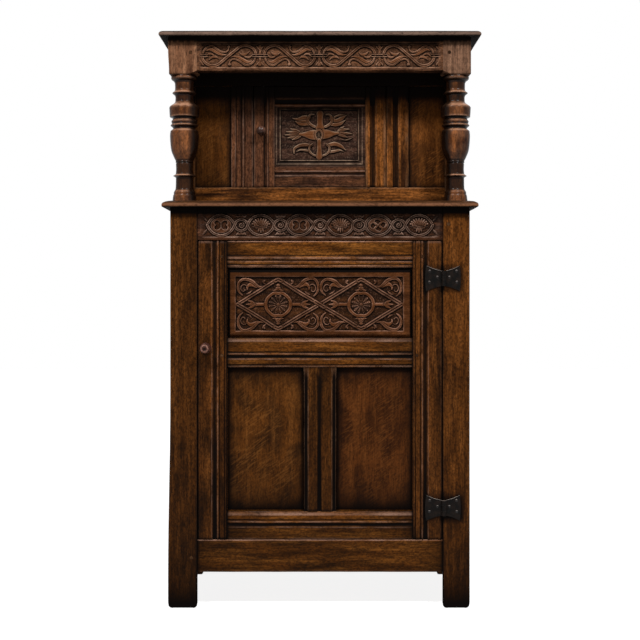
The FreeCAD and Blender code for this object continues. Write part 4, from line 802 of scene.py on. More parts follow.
porch_bar = framing("porch_", "recess_", "carcase")
for part, low, high, tone, number, looks in (
        ("bottom_rail", LEDGE_TOP, PORCH_LOW, "recess", 51, dict(wave=0.5)),
        ("top_rail", PORCH_TOP, CORNICE_LOW, "low", 53, dict(wave=0.4, shade=painted_recess_shadow))):
    porch_bar(part, (-STILE_IN, STILE_IN, RECESS_Y, RECESS_BACK, low, high), "x", tone, number, end=0.0,
              **looks)
LEFT_MUNTIN = [("line", 11.5, 2.4, 0.7), ("quirk", 13.2, 2.0, 1.0), ("quirk", 27.6, 3.2, 1.8),
               ("bead", 33.2, 5.0, 0.8), ("quirk", 37.4, 2.2, 1.2), ("slope_high", 61.0, 5.0, 1.6)]
RIGHT_MUNTIN = [("quirk", 18.4, 2.2, 1.4), ("cove", 25.5, 14.5, 2.4), ("line", 33.0, 2.0, 0.5),
                ("slope_high", 61.0, 9.0, 2.2)]
for side, word in SIDES:
    x0, x1 = sorted((side * RECESS_OPEN, side * MUNTIN_OUT))
    porch_bar(word + "_muntin", (x0, x1, RECESS_Y, RECESS_BACK, PORCH_LOW, PORCH_TOP), "z",
              "mauve" if side < 0 else "recess", 55 + side, LEFT_MUNTIN if side < 0 else RIGHT_MUNTIN,
              seed=57 + side, shade=painted_recess_shadow)
    # The stiles behind the columns take painted shade all over, under the painted shadow of the frieze.
    x0, x1 = sorted((side * STILE_IN, side * STILE_OUT))
    porch_bar(word + "_stile", (x0, x1, RECESS_Y, RECESS_BACK, LEDGE_TOP, FRIEZE_LOW), "z", "recess",
              58 + side, shade=lambda u, t: 0.55 + painted_recess_shadow(u, t))
    x0, x1 = sorted((side * MUNTIN_OUT, side * STILE_IN))
    porch_bar(word + "_panel", (x0, x1, RECESS_PANEL_FRONT, RECESS_PANEL_BACK, PORCH_LOW, PORCH_TOP), "z",
              "panel" if side < 0 else "recess", 61 + side, figure=FIGURE, arris=0.5, end=0.0,
              shade=recess_panel_shade(side), slot="oak_panels")


# The lower door's stiles are black along both edges, the left one has a darker strip, and both
# take painted shade towards the foot.
def stile_shade(u, t):
    outer = 0.9 * bell(DOOR_HALF - abs(u), 2.6)
    inner = 0.8 * bell(abs(u) - STILE_EDGE, 3.4)
    strip = 0.34 * ease((u + 267.0) / 4.0) * (u < 0.0)
    return 0.9 * painted_low_shade(t) + outer + inner + strip + hinge_grime(u, t)


# The muntin's mouldings run out below the middle rail.
def muntin_stop(t):
    return np.clip((MIDDLE_LOW - 4.0 - t) / 22.0, 0.0, 1.0)


door_bar = framing("door_", "lower_door_", "lower_door")
KNOB_STILE = [("line", 36.0, 2.0, 0.3), ("cove", 43.8, 12.5, 1.9), ("line", 51.6, 2.6, 0.5),
              ("quirk", 55.8, 3.2, 1.5), ("quirk", 69.8, 2.4, 1.0)]
HINGE_STILE = [("line", 41.0, 2.0, 0.3), ("cove", 33.2, 12.5, 1.9), ("line", 25.0, 2.6, 0.5),
               ("quirk", 21.0, 3.2, 1.5), ("quirk", 6.8, 3.0, 1.4)]
TOP_RAIL = [("line", 69.0, 2.4, 0.3), ("quirk", 32.5, 3.2, 1.4), ("bead", 26.0, 8.0, 1.0),
            ("cove", 19.6, 4.2, 1.2), ("line", 15.5, 2.4, 0.5), ("quirk", 8.2, 2.6, 1.2),
            ("line", 5.2, 2.2, 0.4), ("slope_low", 0.0, 3.4, 1.8)]
MIDDLE_RAIL = [("lit_high", 78.6, 11.5, 3.2), ("quirk", 39.9, 3.4, 1.4), ("bead", 35.2, 6.0, 0.9),
               ("cove", 28.1, 8.5, 2.0), ("line", 21.2, 3.0, 0.6), ("quirk", 6.4, 3.0, 1.4),
               ("line", 3.2, 2.2, 0.4)]
BOTTOM_RAIL = [("lit_high", 74.5, 12.5, 4.0), ("quirk", 50.3, 2.8, 1.5), ("line", 45.6, 2.8, 0.6),
               ("cove", 38.4, 9.0, 2.2), ("line", 30.8, 3.2, 0.7)]
MUNTIN = [("slope_low", 0.0, 13.0, 4.5), ("cove", 7.0, 8.5, 0.5), ("line", 1.8, 1.8, 0.4),
          ("line", 12.6, 2.4, 0.5), ("cove", 41.5, 12.5, 2.4), ("slope_high", 87.0, 13.0, 4.5),
          ("cove", 80.0, 8.5, 0.5), ("line", 85.2, 1.8, 0.4), ("line", 74.4, 2.4, 0.5)]
for part, x0, x1, number, features, lit_top in (
        ("knob_stile", -DOOR_HALF, -STILE_EDGE, 71, KNOB_STILE, 0.9),
        ("hinge_stile", STILE_EDGE, DOOR_HALF, 73, HINGE_STILE, 0.7)):
    door_bar(part, (x0, x1, 0, DOOR_BACK, DOOR_LOW, DOOR_TOP), "z", "stile", number, features,
             wave=0.4, rub=0.2, shade=stile_shade, lit_top=lit_top)
for part, low, high, number, features, rub, end_shade, shade in (
        ("top_rail", CARVED_TOP, DOOR_TOP, 75, TOP_RAIL, 0.7, 0.4, None),
        ("middle_rail", MIDDLE_LOW, CARVED_LOW, 77, MIDDLE_RAIL, 0.7, 0.4, lambda u, t: 0.23),
        ("bottom_rail", DOOR_LOW, PANEL_LOW, 79, BOTTOM_RAIL, 0.8, 0.35,
         lambda u, t: 0.53 - 0.36 * ease((u - 214.0) / 8.0))):
    door_bar(part, (-STILE_EDGE, STILE_EDGE, 0.4, DOOR_BACK, low, high), "x", "rail", number, features,
             wave=0.4, end=0.0, rub=rub, end_shade=end_shade, shade=shade)
door_bar("muntin", (-MUNTIN_HALF, MUNTIN_HALF, 0.2, DOOR_BACK, PANEL_LOW, MIDDLE_LOW), "z", "low", 81, MUNTIN,
         wave=0.4, end=0.0, rub=0.3, shade=lambda u, t: 0.8 * painted_low_shade(t - 120.0), stretch=muntin_stop)


# Painted shade makes plain panels black in the corners of their frame, dark along its edges, and
# browner towards the middle.
def panel_shade(x0, x1, z0, z1):
    def shade(u, t):
        side = np.minimum(u - x0, x1 - u) + 2.5 * noise(u / 30.0, t / 30.0, 0.0, 91)
        top = z1 - t + 3.0 * noise(u / 26.0, t / 40.0, 0.0, 92)
        low = t - z0 + 7.0 * noise(u / 24.0, t / 30.0, 0.0, 93)
        light = 1.0
        for distance, share, reach in ((side, 0.93, 11.0), (top, 0.97, 12.0), (top, 0.75, 34.0),
                                       (low, 0.93, 32.0), (low, 0.5, 88.0), (side, 0.35, 24.0)):
            light = light * (1.0 - share * bell(distance, reach))
        return 1.0 - light
    return shade


for side, word in SIDES:
    x0, x1 = sorted((side * MUNTIN_HALF, side * STILE_EDGE))
    door_bar(word + "_panel", (x0, x1, DOOR_PANEL_FRONT, DOOR_PANEL_BACK, PANEL_LOW, MIDDLE_LOW), "z",
             "panel" if side < 0 else "red_panel", 83 + side, figure=FIGURE, slot="oak_panels",
             seed=85 + side, arris=0.5, end=0.0, wave=0.7, shade=panel_shade(x0, x1, PANEL_LOW, MIDDLE_LOW))

# Upper door frame
hatch_bar = framing("hatch_", "upper_door_", "upper_door")
UP_KNOB_STILE = [("cove", 29.0, 6.5, 2.0), ("line", 37.7, 2.4, 0.6), ("quirk", 34.0, 2.0, 1.0),
                 ("quirk", 40.2, 1.8, 1.0)]
UP_HINGE_STILE = [("quirk", 13.2, 2.0, 1.2), ("cove", 21.0, 14.0, 2.4), ("line", 29.6, 2.0, 0.5)]
UP_BOTTOM_RAIL = [("quirk", 55.5, 2.4, 1.2), ("line", 43.5, 2.6, 0.6), ("cove", 36.8, 8.0, 1.8),
                  ("line", 30.4, 2.8, 0.6)]
UP_TOP_RAIL = [("quirk", 0.8, 1.8, 1.0), ("line", 5.2, 3.0, 0.7), ("cove", 14.5, 12.0, 1.8),
               ("line", 24.4, 2.6, 0.6)]
for part, x0, x1, tone, number, features, arris in (
        ("knob_stile", -UP_HALF, -UP_EDGE, "mauve", 91, UP_KNOB_STILE, 2.2),
        ("hinge_stile", UP_EDGE, UP_HALF, "recess", 93, UP_HINGE_STILE, 5.0)):
    hatch_bar(part, (x0, x1, RECESS_Y, RECESS_BACK, UP_LOW, UP_TOP), "z", tone, number, features,
              arris=arris, shade=painted_recess_shadow)
for part, low, high, tone, number, features, shade in (
        ("bottom_rail", UP_LOW, UP_PANEL_LOW, "mauve", 95, UP_BOTTOM_RAIL, None),
        ("top_rail", UP_PANEL_TOP, UP_TOP, "carved", 97, UP_TOP_RAIL, painted_recess_shadow)):
    hatch_bar(part, (-UP_EDGE, UP_EDGE, RECESS_Y + 0.4, RECESS_BACK, low, high), "x", tone, number, features,
              end=0.0, shade=shade)

# The lower knob's front is a worn ring with a painted highlight round a hollow; painted shade
# darkens the hollow and the outer rim.
KNOB_FACE = through([(-22.0, 12.0), (-26.5, 13.1), (-30.5, 12.4), (-33.6, 10.2), (-34.9, 7.6), (-34.4, 5.4),
                     (-32.6, 4.0), (-32.3, 2.0), (-32.3, 0.4)], 5)


def hollow_shade(along, radius):
    return ease((6.6 - radius) / 1.6) + 0.55 * ease((radius - 11.6) / 1.2)


def ring_lit(along, radius):
    return 0.95 * bell(radius - 8.6, 2.2) * (along < -31.0) + 0.6 * bell(along + 26.5, 1.6) * (radius > 11.0)


turned("knob_face", "lower_knob", (KNOB_X, 0.0, KNOB_LEVEL), KNOB_FACE, "y",
       oak("knob", "y", 126, gloss=0.27, shine=0.10, dull=0.4, bump_strength=0.15, grain=0.6),
       wobble=0.2, seed=127, sides=48, shade=hollow_shade, lit=ring_lit)


# Curves for the carving, as points across and up
def arc(cx, cz, rx, rz, start, stop, count=28):
    angles = np.radians(np.linspace(start, stop, count))
    return np.stack([cx + rx * np.cos(angles), cz + rz * np.sin(angles)], axis=1)


def curl(cx, cz, outer, inner, start, turn, squeeze=1.0, count=40):
    share = np.linspace(0.0, 1.0, count)
    angles = np.radians(start + turn * share)
    radius = outer + (inner - outer) * share ** 0.85
    return np.stack([cx + radius * np.cos(angles), cz + squeeze * radius * np.sin(angles)], axis=1)


def moved(path, cx, cz, sx=1.0, sz=1.0):
    return np.asarray(path, float) * (sx, sz) + (cx, cz)


def blurred(values, blur, step):
    kernel, reach = soft_kernel(blur, step, 2.2)
    padded = np.pad(values, reach, mode="edge")
    padded = np.apply_along_axis(lambda row: np.convolve(row, kernel, "valid"), 0, padded)
    return np.apply_along_axis(lambda row: np.convolve(row, kernel, "valid"), 1, padded)


# Raised work over a sunk ground, as heights in millimetres on a fine grid. A band follows a path:
# widths are shares of its width along the way, groove hollows its middle, moat sinks the ground beside
# it, and gold is how far it keeps a golden brown.
class Relief:
    def __init__(self, x0, x1, z0, z1, step=0.95):
        self.step = step
        self.xs = np.linspace(x0, x1, int(round((x1 - x0) / step)) + 1)
        self.zs = np.linspace(z0, z1, int(round((z1 - z0) / step)) + 1)
        self.X, self.Z = np.meshgrid(self.xs, self.zs, indexing="ij")
        self.H = np.zeros(self.X.shape)
        self.gold = np.zeros(self.X.shape)

    def window(self, low, high):
        i0, i1 = np.searchsorted(self.xs, (low[0], high[0]))
        k0, k1 = np.searchsorted(self.zs, (low[1], high[1]))
        return slice(i0, i1), slice(k0, k1)

    def nearest(self, path, margin):
        area = self.window(path.min(axis=0) - margin, path.max(axis=0) + margin)
        X, Z = self.X[area], self.Z[area]
        best = np.full(X.shape, 1e9)
        share = np.zeros(X.shape)
        steps = np.hypot(*np.diff(path, axis=0).T)
        marks = np.concatenate([[0.0], np.cumsum(steps)]) / max(steps.sum(), 1e-9)
        for k in range(len(path) - 1):
            (ax, az), (bx, bz) = path[k], path[k + 1]
            dx, dz = bx - ax, bz - az
            size = dx * dx + dz * dz
            if size < 1e-9:
                continue
            t = np.clip(((X - ax) * dx + (Z - az) * dz) / size, 0.0, 1.0)
            d = np.hypot(X - ax - t * dx, Z - az - t * dz)
            closer = d < best
            best = np.where(closer, d, best)
            share = np.where(closer, marks[k] + t * (marks[k + 1] - marks[k]), share)
        return area, best, share

    def band(self, path, width, height=3.2, widths=(1.0, 1.0), groove=0.0, moat=1.6, edge=0.9, gold=0.0,
             spread=0.3):
        half = width / 2.0
        area, d, share = self.nearest(path, half + moat + 2.0)
        w = np.maximum(half * np.interp(share, np.linspace(0, 1, len(widths)), widths), 0.05)
        body = ease((w - d) / edge + 0.5)
        crown = 1.0 - 0.28 * np.clip(d / w, 0, 1) ** 2
        rise = height * crown - groove * bell(d, spread * half) * np.clip(w / half, 0, 1)
        H = self.H[area]
        if moat > 0:
            near = ease(1.0 - (d - w) / moat)
            H = H * (1.0 - 0.75 * near)
        self.H[area] = H * (1.0 - body) + rise * body
        self.gold[area] = self.gold[area] * (1.0 - body) + gold * body

    def disc(self, cx, cz, rx, rz, height, dome=0.3, gold=0.0, edge=1.0, moat=0.0):
        area = self.window((cx - rx - 4, cz - rz - 4), (cx + rx + 4, cz + rz + 4))
        X, Z = self.X[area] - cx, self.Z[area] - cz
        radial = np.hypot(X / rx, Z / rz)
        away = (1.0 - radial) * min(rx, rz)
        body = ease(away / edge + 0.5)
        H = self.H[area]
        if moat > 0:
            H = H * (1.0 - 0.75 * ease(1.0 + away / moat))
        self.H[area] = H * (1.0 - body) + height * (1.0 - dome * np.clip(radial, 0, 1) ** 2) * body
        self.gold[area] = self.gold[area] * (1.0 - body) + gold * body

    def sink(self, cx, cz, rx, rz, depth, angle=0.0):
        reach = max(rx, rz) + 3
        area = self.window((cx - reach, cz - reach), (cx + reach, cz + reach))
        X, Z = self.X[area] - cx, self.Z[area] - cz
        c, s = math.cos(math.radians(angle)), math.sin(math.radians(angle))
        radial = np.hypot((X * c + Z * s) / rx, (Z * c - X * s) / rz)
        self.H[area] = self.H[area] - depth * ease((1.0 - radial) * min(rx, rz) / 1.2 + 0.3)

    def flat(self, mask, height, edge=1.0, gold=0.0):
        body = ease(mask / edge + 0.5)
        self.H = self.H * (1.0 - body) + height * body
        self.gold = self.gold * (1.0 - body) + gold * body

    # The field becomes a piece: tool marks; wear and a painted highlight on what stands out and on
    # slopes facing up and to the left; dirt and painted shade in what lies deep and on slopes facing
    # down. Its sides and back are painted black by default, as shade.
    def build(self, name, body, surface, back, material, nodes, seed, fall=None, wave=0.4, grime=0.32,
              shade=None, hollow=0.85, back_dirt_and_shade=1.0):
        depth = CARVING_HEIGHT
        tooled = 0.20 * noise(self.X / 2.6, self.Z / 2.6, 0.0, seed)
        tooled = tooled + 0.16 * noise(self.X / 1.4, self.Z / 1.4, 1.0, seed + 1)
        low = 1.0 - ease(self.H / 1.4)
        H = self.H + tooled * (0.35 + 0.65 * low) + 0.15 * noise(self.X / 9.0, self.Z / 6.0, 2.0, seed + 2)
        H = np.clip(H, -0.9, depth + 0.6)
        fine = H - blurred(H, 1.9, self.step)
        broad = H - blurred(H, 5.0, self.step)
        # Slopes that face up and to the left take a painted highlight, slopes that face down a painted shade.
        slope_x, slope_z = np.gradient(blurred(H, 1.5, self.step), self.step)
        facing = (0.25 * slope_x - slope_z) / 1.1
        spots = 0.5 + 0.5 * noise(self.X / 16.0, self.Z / 11.0, 3.0, seed + 3)
        stipple = np.clip(noise(self.X / 2.2, self.Z / 2.2, 5.0, seed + 9) - 0.3, 0.0, 1.0)
        lit = 0.75 * np.clip(fine / 0.75, 0, 1) + 0.15 * np.clip(broad / 1.6, 0, 1)
        lit = lit * ease(H / 2.0) + 0.85 * np.clip(facing, 0, 1) * ease(H / 1.2)
        wear = lit * (0.25 + 0.75 * spots) + 0.5 * stipple * low
        dirt = (0.7 * np.clip(-fine / 0.8, 0, 1) + 0.25 * np.clip(-broad / 1.6, 0, 1)) * hollow
        dirt = dirt + 0.85 * np.clip(-facing, 0, 1) * hollow + grime * low * (1.0 - 0.6 * stipple)
        dirt = dirt + (0.12 + 0.30 * (1.0 - spots)) * (1.0 - low)
        if shade is not None:
            dirt = dirt + shade(self.X, self.Z)
        undulation = wave * layered(self.X / 90.0, self.Z / 60.0, 0.0, seed + 5)
        Y = surface + depth - H + undulation
        if fall is not None:
            Y = Y + fall(self.X, self.Z)
        marks = {"wear": wear, "dirt": dirt, "gold": self.gold}
        return carved_board(name, body, self.xs, self.zs, Y, back, material, nodes, marks, back_dirt_and_shade)


# Half the distance between the two scrolls of a pair, in which the strokes are drawn
FRIEZE_HALF_PAIR = 41.0


# Frieze rail: four pairs of S-scrolls, every other pair upside down, tied by double bars.
def carve_frieze():
    work = Relief(-BLOCK_IN, BLOCK_IN, FRIEZE_LOW, CORNICE_LOW)
    top, middle = CARVING_HEIGHT, 1457.8
    centres = [(-240.0, 42.7), (-80.2, 40.0), (76.6, 41.4), (234.7, 40.1)]
    ties = [-317.0, -158.5, -2.0, 157.0, 315.5]
    for x in ties:
        for side in (1, -1):
            stem = [(x, middle + side * 4), (x + 0.6, middle + side * 15), (x - 0.4, middle + side * 23)]
            work.band(through(stem), 8.0, 2.8, (0.9, 0.65, 1.1, 1.3), gold=0.5)
            for lean in (1, -1):
                petal = [(x, middle + side * 15), (x + lean * 5, middle + side * 20),
                         (x + lean * 8.5, middle + side * 24.5)]
                work.band(through(petal), 5.0, 2.8, (0.5, 1.0, 0.7), gold=0.4, moat=0.8)
    over = [(-67, 4), (-62.5, 15), (-53, 23), (-42, 24.5), (-32, 18), (-22, 11.5), (-11, 9), (-3.5, 13),
            (-0.5, 20)]
    leaf = [(-57, 14), (-47, 16.5), (-36, 12), (-24, 4.5), (-12, 2), (-4, 4.5)]
    inner = [(-60, -3), (-52, 4), (-42, 3), (-35, -5)]
    bud = [(-52, -12), (-44, -5), (-34, -3), (-26, -8)]
    leaves = [
        (through(leaf), 9.0, 3.0, (0.35, 0.9, 1.15, 0.9, 0.55, 0.15),
         dict(groove=0.9, moat=1.0, gold=0.8, spread=0.2)),
        (through(inner), 5.5, 2.6, (0.3, 1.0, 0.9, 0.3), dict(moat=0.8, gold=0.5)),
        (through(bud), 7.0, 2.7, (0.2, 0.9, 1.0, 0.25), dict(groove=0.5, moat=0.8, gold=0.6)),
        (through(over), 6.4, 3.4, (0.75, 1.0, 1.0, 0.9, 0.8, 0.6),
         dict(groove=1.3, moat=1.3, gold=0.3, spread=0.26)),
    ]
    left_hook = arc(-FRIEZE_HALF_PAIR, 0, 27.5, 26.5, 186, 318, 22)
    right_hook = arc(FRIEZE_HALF_PAIR, 0, 27.5, 26.5, 138, 6, 22)
    main = np.concatenate([left_hook, right_hook])
    for number, (cx, half) in enumerate(centres):
        flip = 1.0 if number % 2 == 0 else -1.0
        spread_out = half / FRIEZE_HALF_PAIR
        for turn in (1.0, -1.0):
            across, up = spread_out * turn, flip * turn
            for path, width, height, widths, looks in leaves:
                work.band(moved(path, cx, middle, across, up), width, height, widths, **looks)
            work.disc(cx - across, middle + up * 23.5, 4.2, 4.0, 3.6, gold=0.4, moat=0.8)
        work.band(moved(main, cx, middle, spread_out, flip), 8.6, 3.9, (0.8, 1.0, 1.0, 1.0, 0.8), 1.7,
                  moat=1.9, gold=0.35, spread=0.24)
    for x in ties:
        for lift in (3.0, -3.0):
            work.band(np.array([(x - 20.5, middle + lift), (x + 20.5, middle + lift)]), 3.4, 3.7,
                      (0.8, 1.0, 0.8), moat=1.1)
    X, Z = work.X, work.Z
    work.flat(FRIEZE_LOW + 9.5 + 0.9 * noise(X / 30.0, 0.0, 0.0, 211) - Z, top, 3.6)
    work.flat(Z - 1490.2, top, 1.2)
    work.flat(0.9 - abs(Z - 1488.2), 2.4, 0.8)
    work.flat(abs(X) - 312.0 - 3.0 * noise(Z / 9.0, 0.0, 0.0, 213), top, 14.0)

    def drop(x, z):
        ends = -3.6 * ease((abs(x) - 306.0) / 18.0)
        lower_arris = arris_fall(z - FRIEZE_LOW, 3.2 * np.clip((258.0 - abs(x)) / 25.0, 0.12, 1.0))
        nicks = 0.8 * np.clip(noise(x / 14.0, z / 30.0, 4.0, 215) - 0.3, 0, 1) * bell(z - FRIEZE_LOW, 4.0)
        return ends + lower_arris + nicks

    # The shade along the top is the painted shadow of the cornice.
    return work.build("frieze_carved", "carcase", RAIL_FRONT, RAIL_BACK, oak("frieze", "x", 201),
                      ["frieze_rail"], 203, drop, grime=0.30,
                      shade=lambda x, z: 0.97 * ease((z - 1490.5) / 7.0))


# Waist rail: interlaced ribbon round six large ovals and five small ones.
def carve_waist():
    work = Relief(-POST_IN, POST_IN, WAIST_LOW, LEDGE_LOW)
    top, middle = CARVING_HEIGHT, 1010.0
    large = [-261.4, -156.0, -54.5, 53.9, 153.5, 261.4]
    small = [-208.0, -104.5, 0.5, 103.0, 207.5]
    for number, x in enumerate(large):
        if number in (0, 2, 4):
            work.disc(x, middle, 27.5, 21.0, 2.7, 0.15, gold=0.22)
            for degrees in (38, 142, 218, 322) if number != 4 else (4, 94, 184, 274):
                angle = math.radians(degrees)
                across, up = math.cos(angle), 0.72 * math.sin(angle)
                lobe = arc(x + 13.0 * across, middle + 12.5 * up, 9.2, 7.4, degrees - 120, degrees + 120, 16)
                work.band(lobe, 2.2, 3.3, (0.4, 1.0, 1.0, 0.4), moat=0.0, gold=0.7)
                turn = 34 if across * up > 0 else -34
                work.sink(x + 11.5 * across, middle + 11.0 * up, 8.8, 6.0, 3.4, turn)
            if number == 4:
                for degrees in (49, 139, 229, 319):
                    angle = math.radians(degrees)
                    leaf = np.array([(x, middle), (x + 19 * math.cos(angle), middle + 14 * math.sin(angle))])
                    work.band(leaf, 6.4, 3.3, (0.3, 1.0, 0.9, 0.2), 0.9, moat=0.8, gold=0.8)
                work.disc(x, middle, 4.0, 3.6, 3.2, gold=0.5, moat=0.8)
        else:
            work.disc(x, middle, 28.0, 21.5, 0.5, 0.1, gold=0.1)
            for k in range(9):
                angle = math.radians(14 + 19 * k)
                root = (x + 5.0 * math.cos(angle), middle - 2.0)
                tip = (x + 23.0 * math.cos(angle), middle - 1.0 + 19.0 * math.sin(angle))
                work.band(np.array([root, tip]), 5.4, 3.6, (0.45, 0.8, 1.0, 0.8), moat=1.1, gold=0.6)
            for k in range(7):
                shift = (k - 3) * 6.2
                tip = (x + shift, middle - 19.0 + 0.075 * shift * shift)
                work.band(np.array([(x + shift * 0.75, middle - 7.0), tip]), 4.8, 3.3, (0.8, 1.0, 0.6),
                          moat=1.1, gold=0.6)
            bar = np.array([(x - 22, middle - 4.2), (x + 22, middle - 4.2)])
            work.band(bar, 2.8, 3.3, (0.6, 1, 0.6), moat=1.0, gold=0.3)
    for x in small:
        work.band(curl(x, middle, 8.6, 1.0, 60, -560), 2.6, 2.6, (0.8, 1.0, 0.8), moat=0.5, gold=0.2)
        for side in (1, -1):
            base = middle + side * 27.5
            for lean in (-1, 0, 1):
                leaf = [(x + lean * 2.5, base - side * 3.0),
                        (x + lean * 8.5, base - side * (9.0 - 3.5 * abs(lean))),
                        (x + lean * 13.0, base - side * (11.0 - 9.0 * abs(lean)))]
                work.band(through(leaf), 6.4, 2.8, (0.5, 1.0, 0.35), 0.8, moat=0.7, gold=0.3, spread=0.25)
    for x in (large[0] - 34.0, large[-1] + 34.0):
        lean = 1 if x > 0 else -1
        for side in (1, -1):
            leaf = [(x + lean * 14, middle + side * 24), (x + lean * 8, middle + side * 17),
                    (x + lean * 4, middle + side * 12)]
            work.band(through(leaf), 6.0, 2.6, (0.4, 1.0, 0.4), moat=0.6)
    strands = {}
    for side in (1, -1):
        spots = [(large[0] - 36.5, 0.0)]
        for k, x in enumerate(large):
            spots += [(x + shift, up) for shift, up in
                      ((-31.0, -9.5), (-19.0, -21.5), (0.0, -27.0), (19.0, -21.5), (31.0, -9.5))]
            if k < len(small):
                spots += [(small[k] + shift, up) for shift, up in
                          ((-17.0, 1.0), (-12.5, 9.5), (0.0, 15.2), (12.5, 9.5), (17.0, 1.0))]
        spots.append((large[-1] + 36.5, 0.0))
        strands[side] = through([(x, middle - side * z) for x, z in spots], 6)
    settings = dict(width=7.2, height=3.9, groove=2.2, moat=1.5, gold=0.05, spread=0.28)
    for side in (1, -1):
        work.band(strands[side], **settings)
    # the upper strand is carved again where it lies over the lower one, right of each small oval
    over = strands[1]
    for oval in small:
        x = oval + 17.3
        near = over[(over[:, 0] > x - 12.0) & (over[:, 0] < x + 12.0)]
        work.band(near, **settings)
    X, Z = work.X, work.Z
    work.flat(980.2 + 0.8 * noise(X / 26.0, 0.0, 0.0, 221) - Z, top, 4.0, gold=0.35)
    work.flat(abs(X) - 309.0 - 2.0 * noise(Z / 9.0, 0.0, 0.0, 223), top, 16.0)

    def drop(x, z):
        nicks = 0.7 * np.clip(noise(x / 17.0, 0.0, 4.0, 225) - 0.2, 0, 1) * bell(z - WAIST_LOW, 3.0)
        return arris_fall(z - WAIST_LOW, 2.6) + nicks

    # A painted shadow of the ledge along the top, and a darker flat band along the foot.
    def shade(x, z):
        return 0.97 * ease((z - 1035.5) / 9.0) + 0.22 * ease((982.0 - z) / 3.0)

    return work.build("waist_carved", "carcase", RAIL_FRONT, RAIL_BACK, oak("waist", "x", 205),
                      ["waist_frieze_rail"], 207, drop, hollow=0.7, shade=shade)


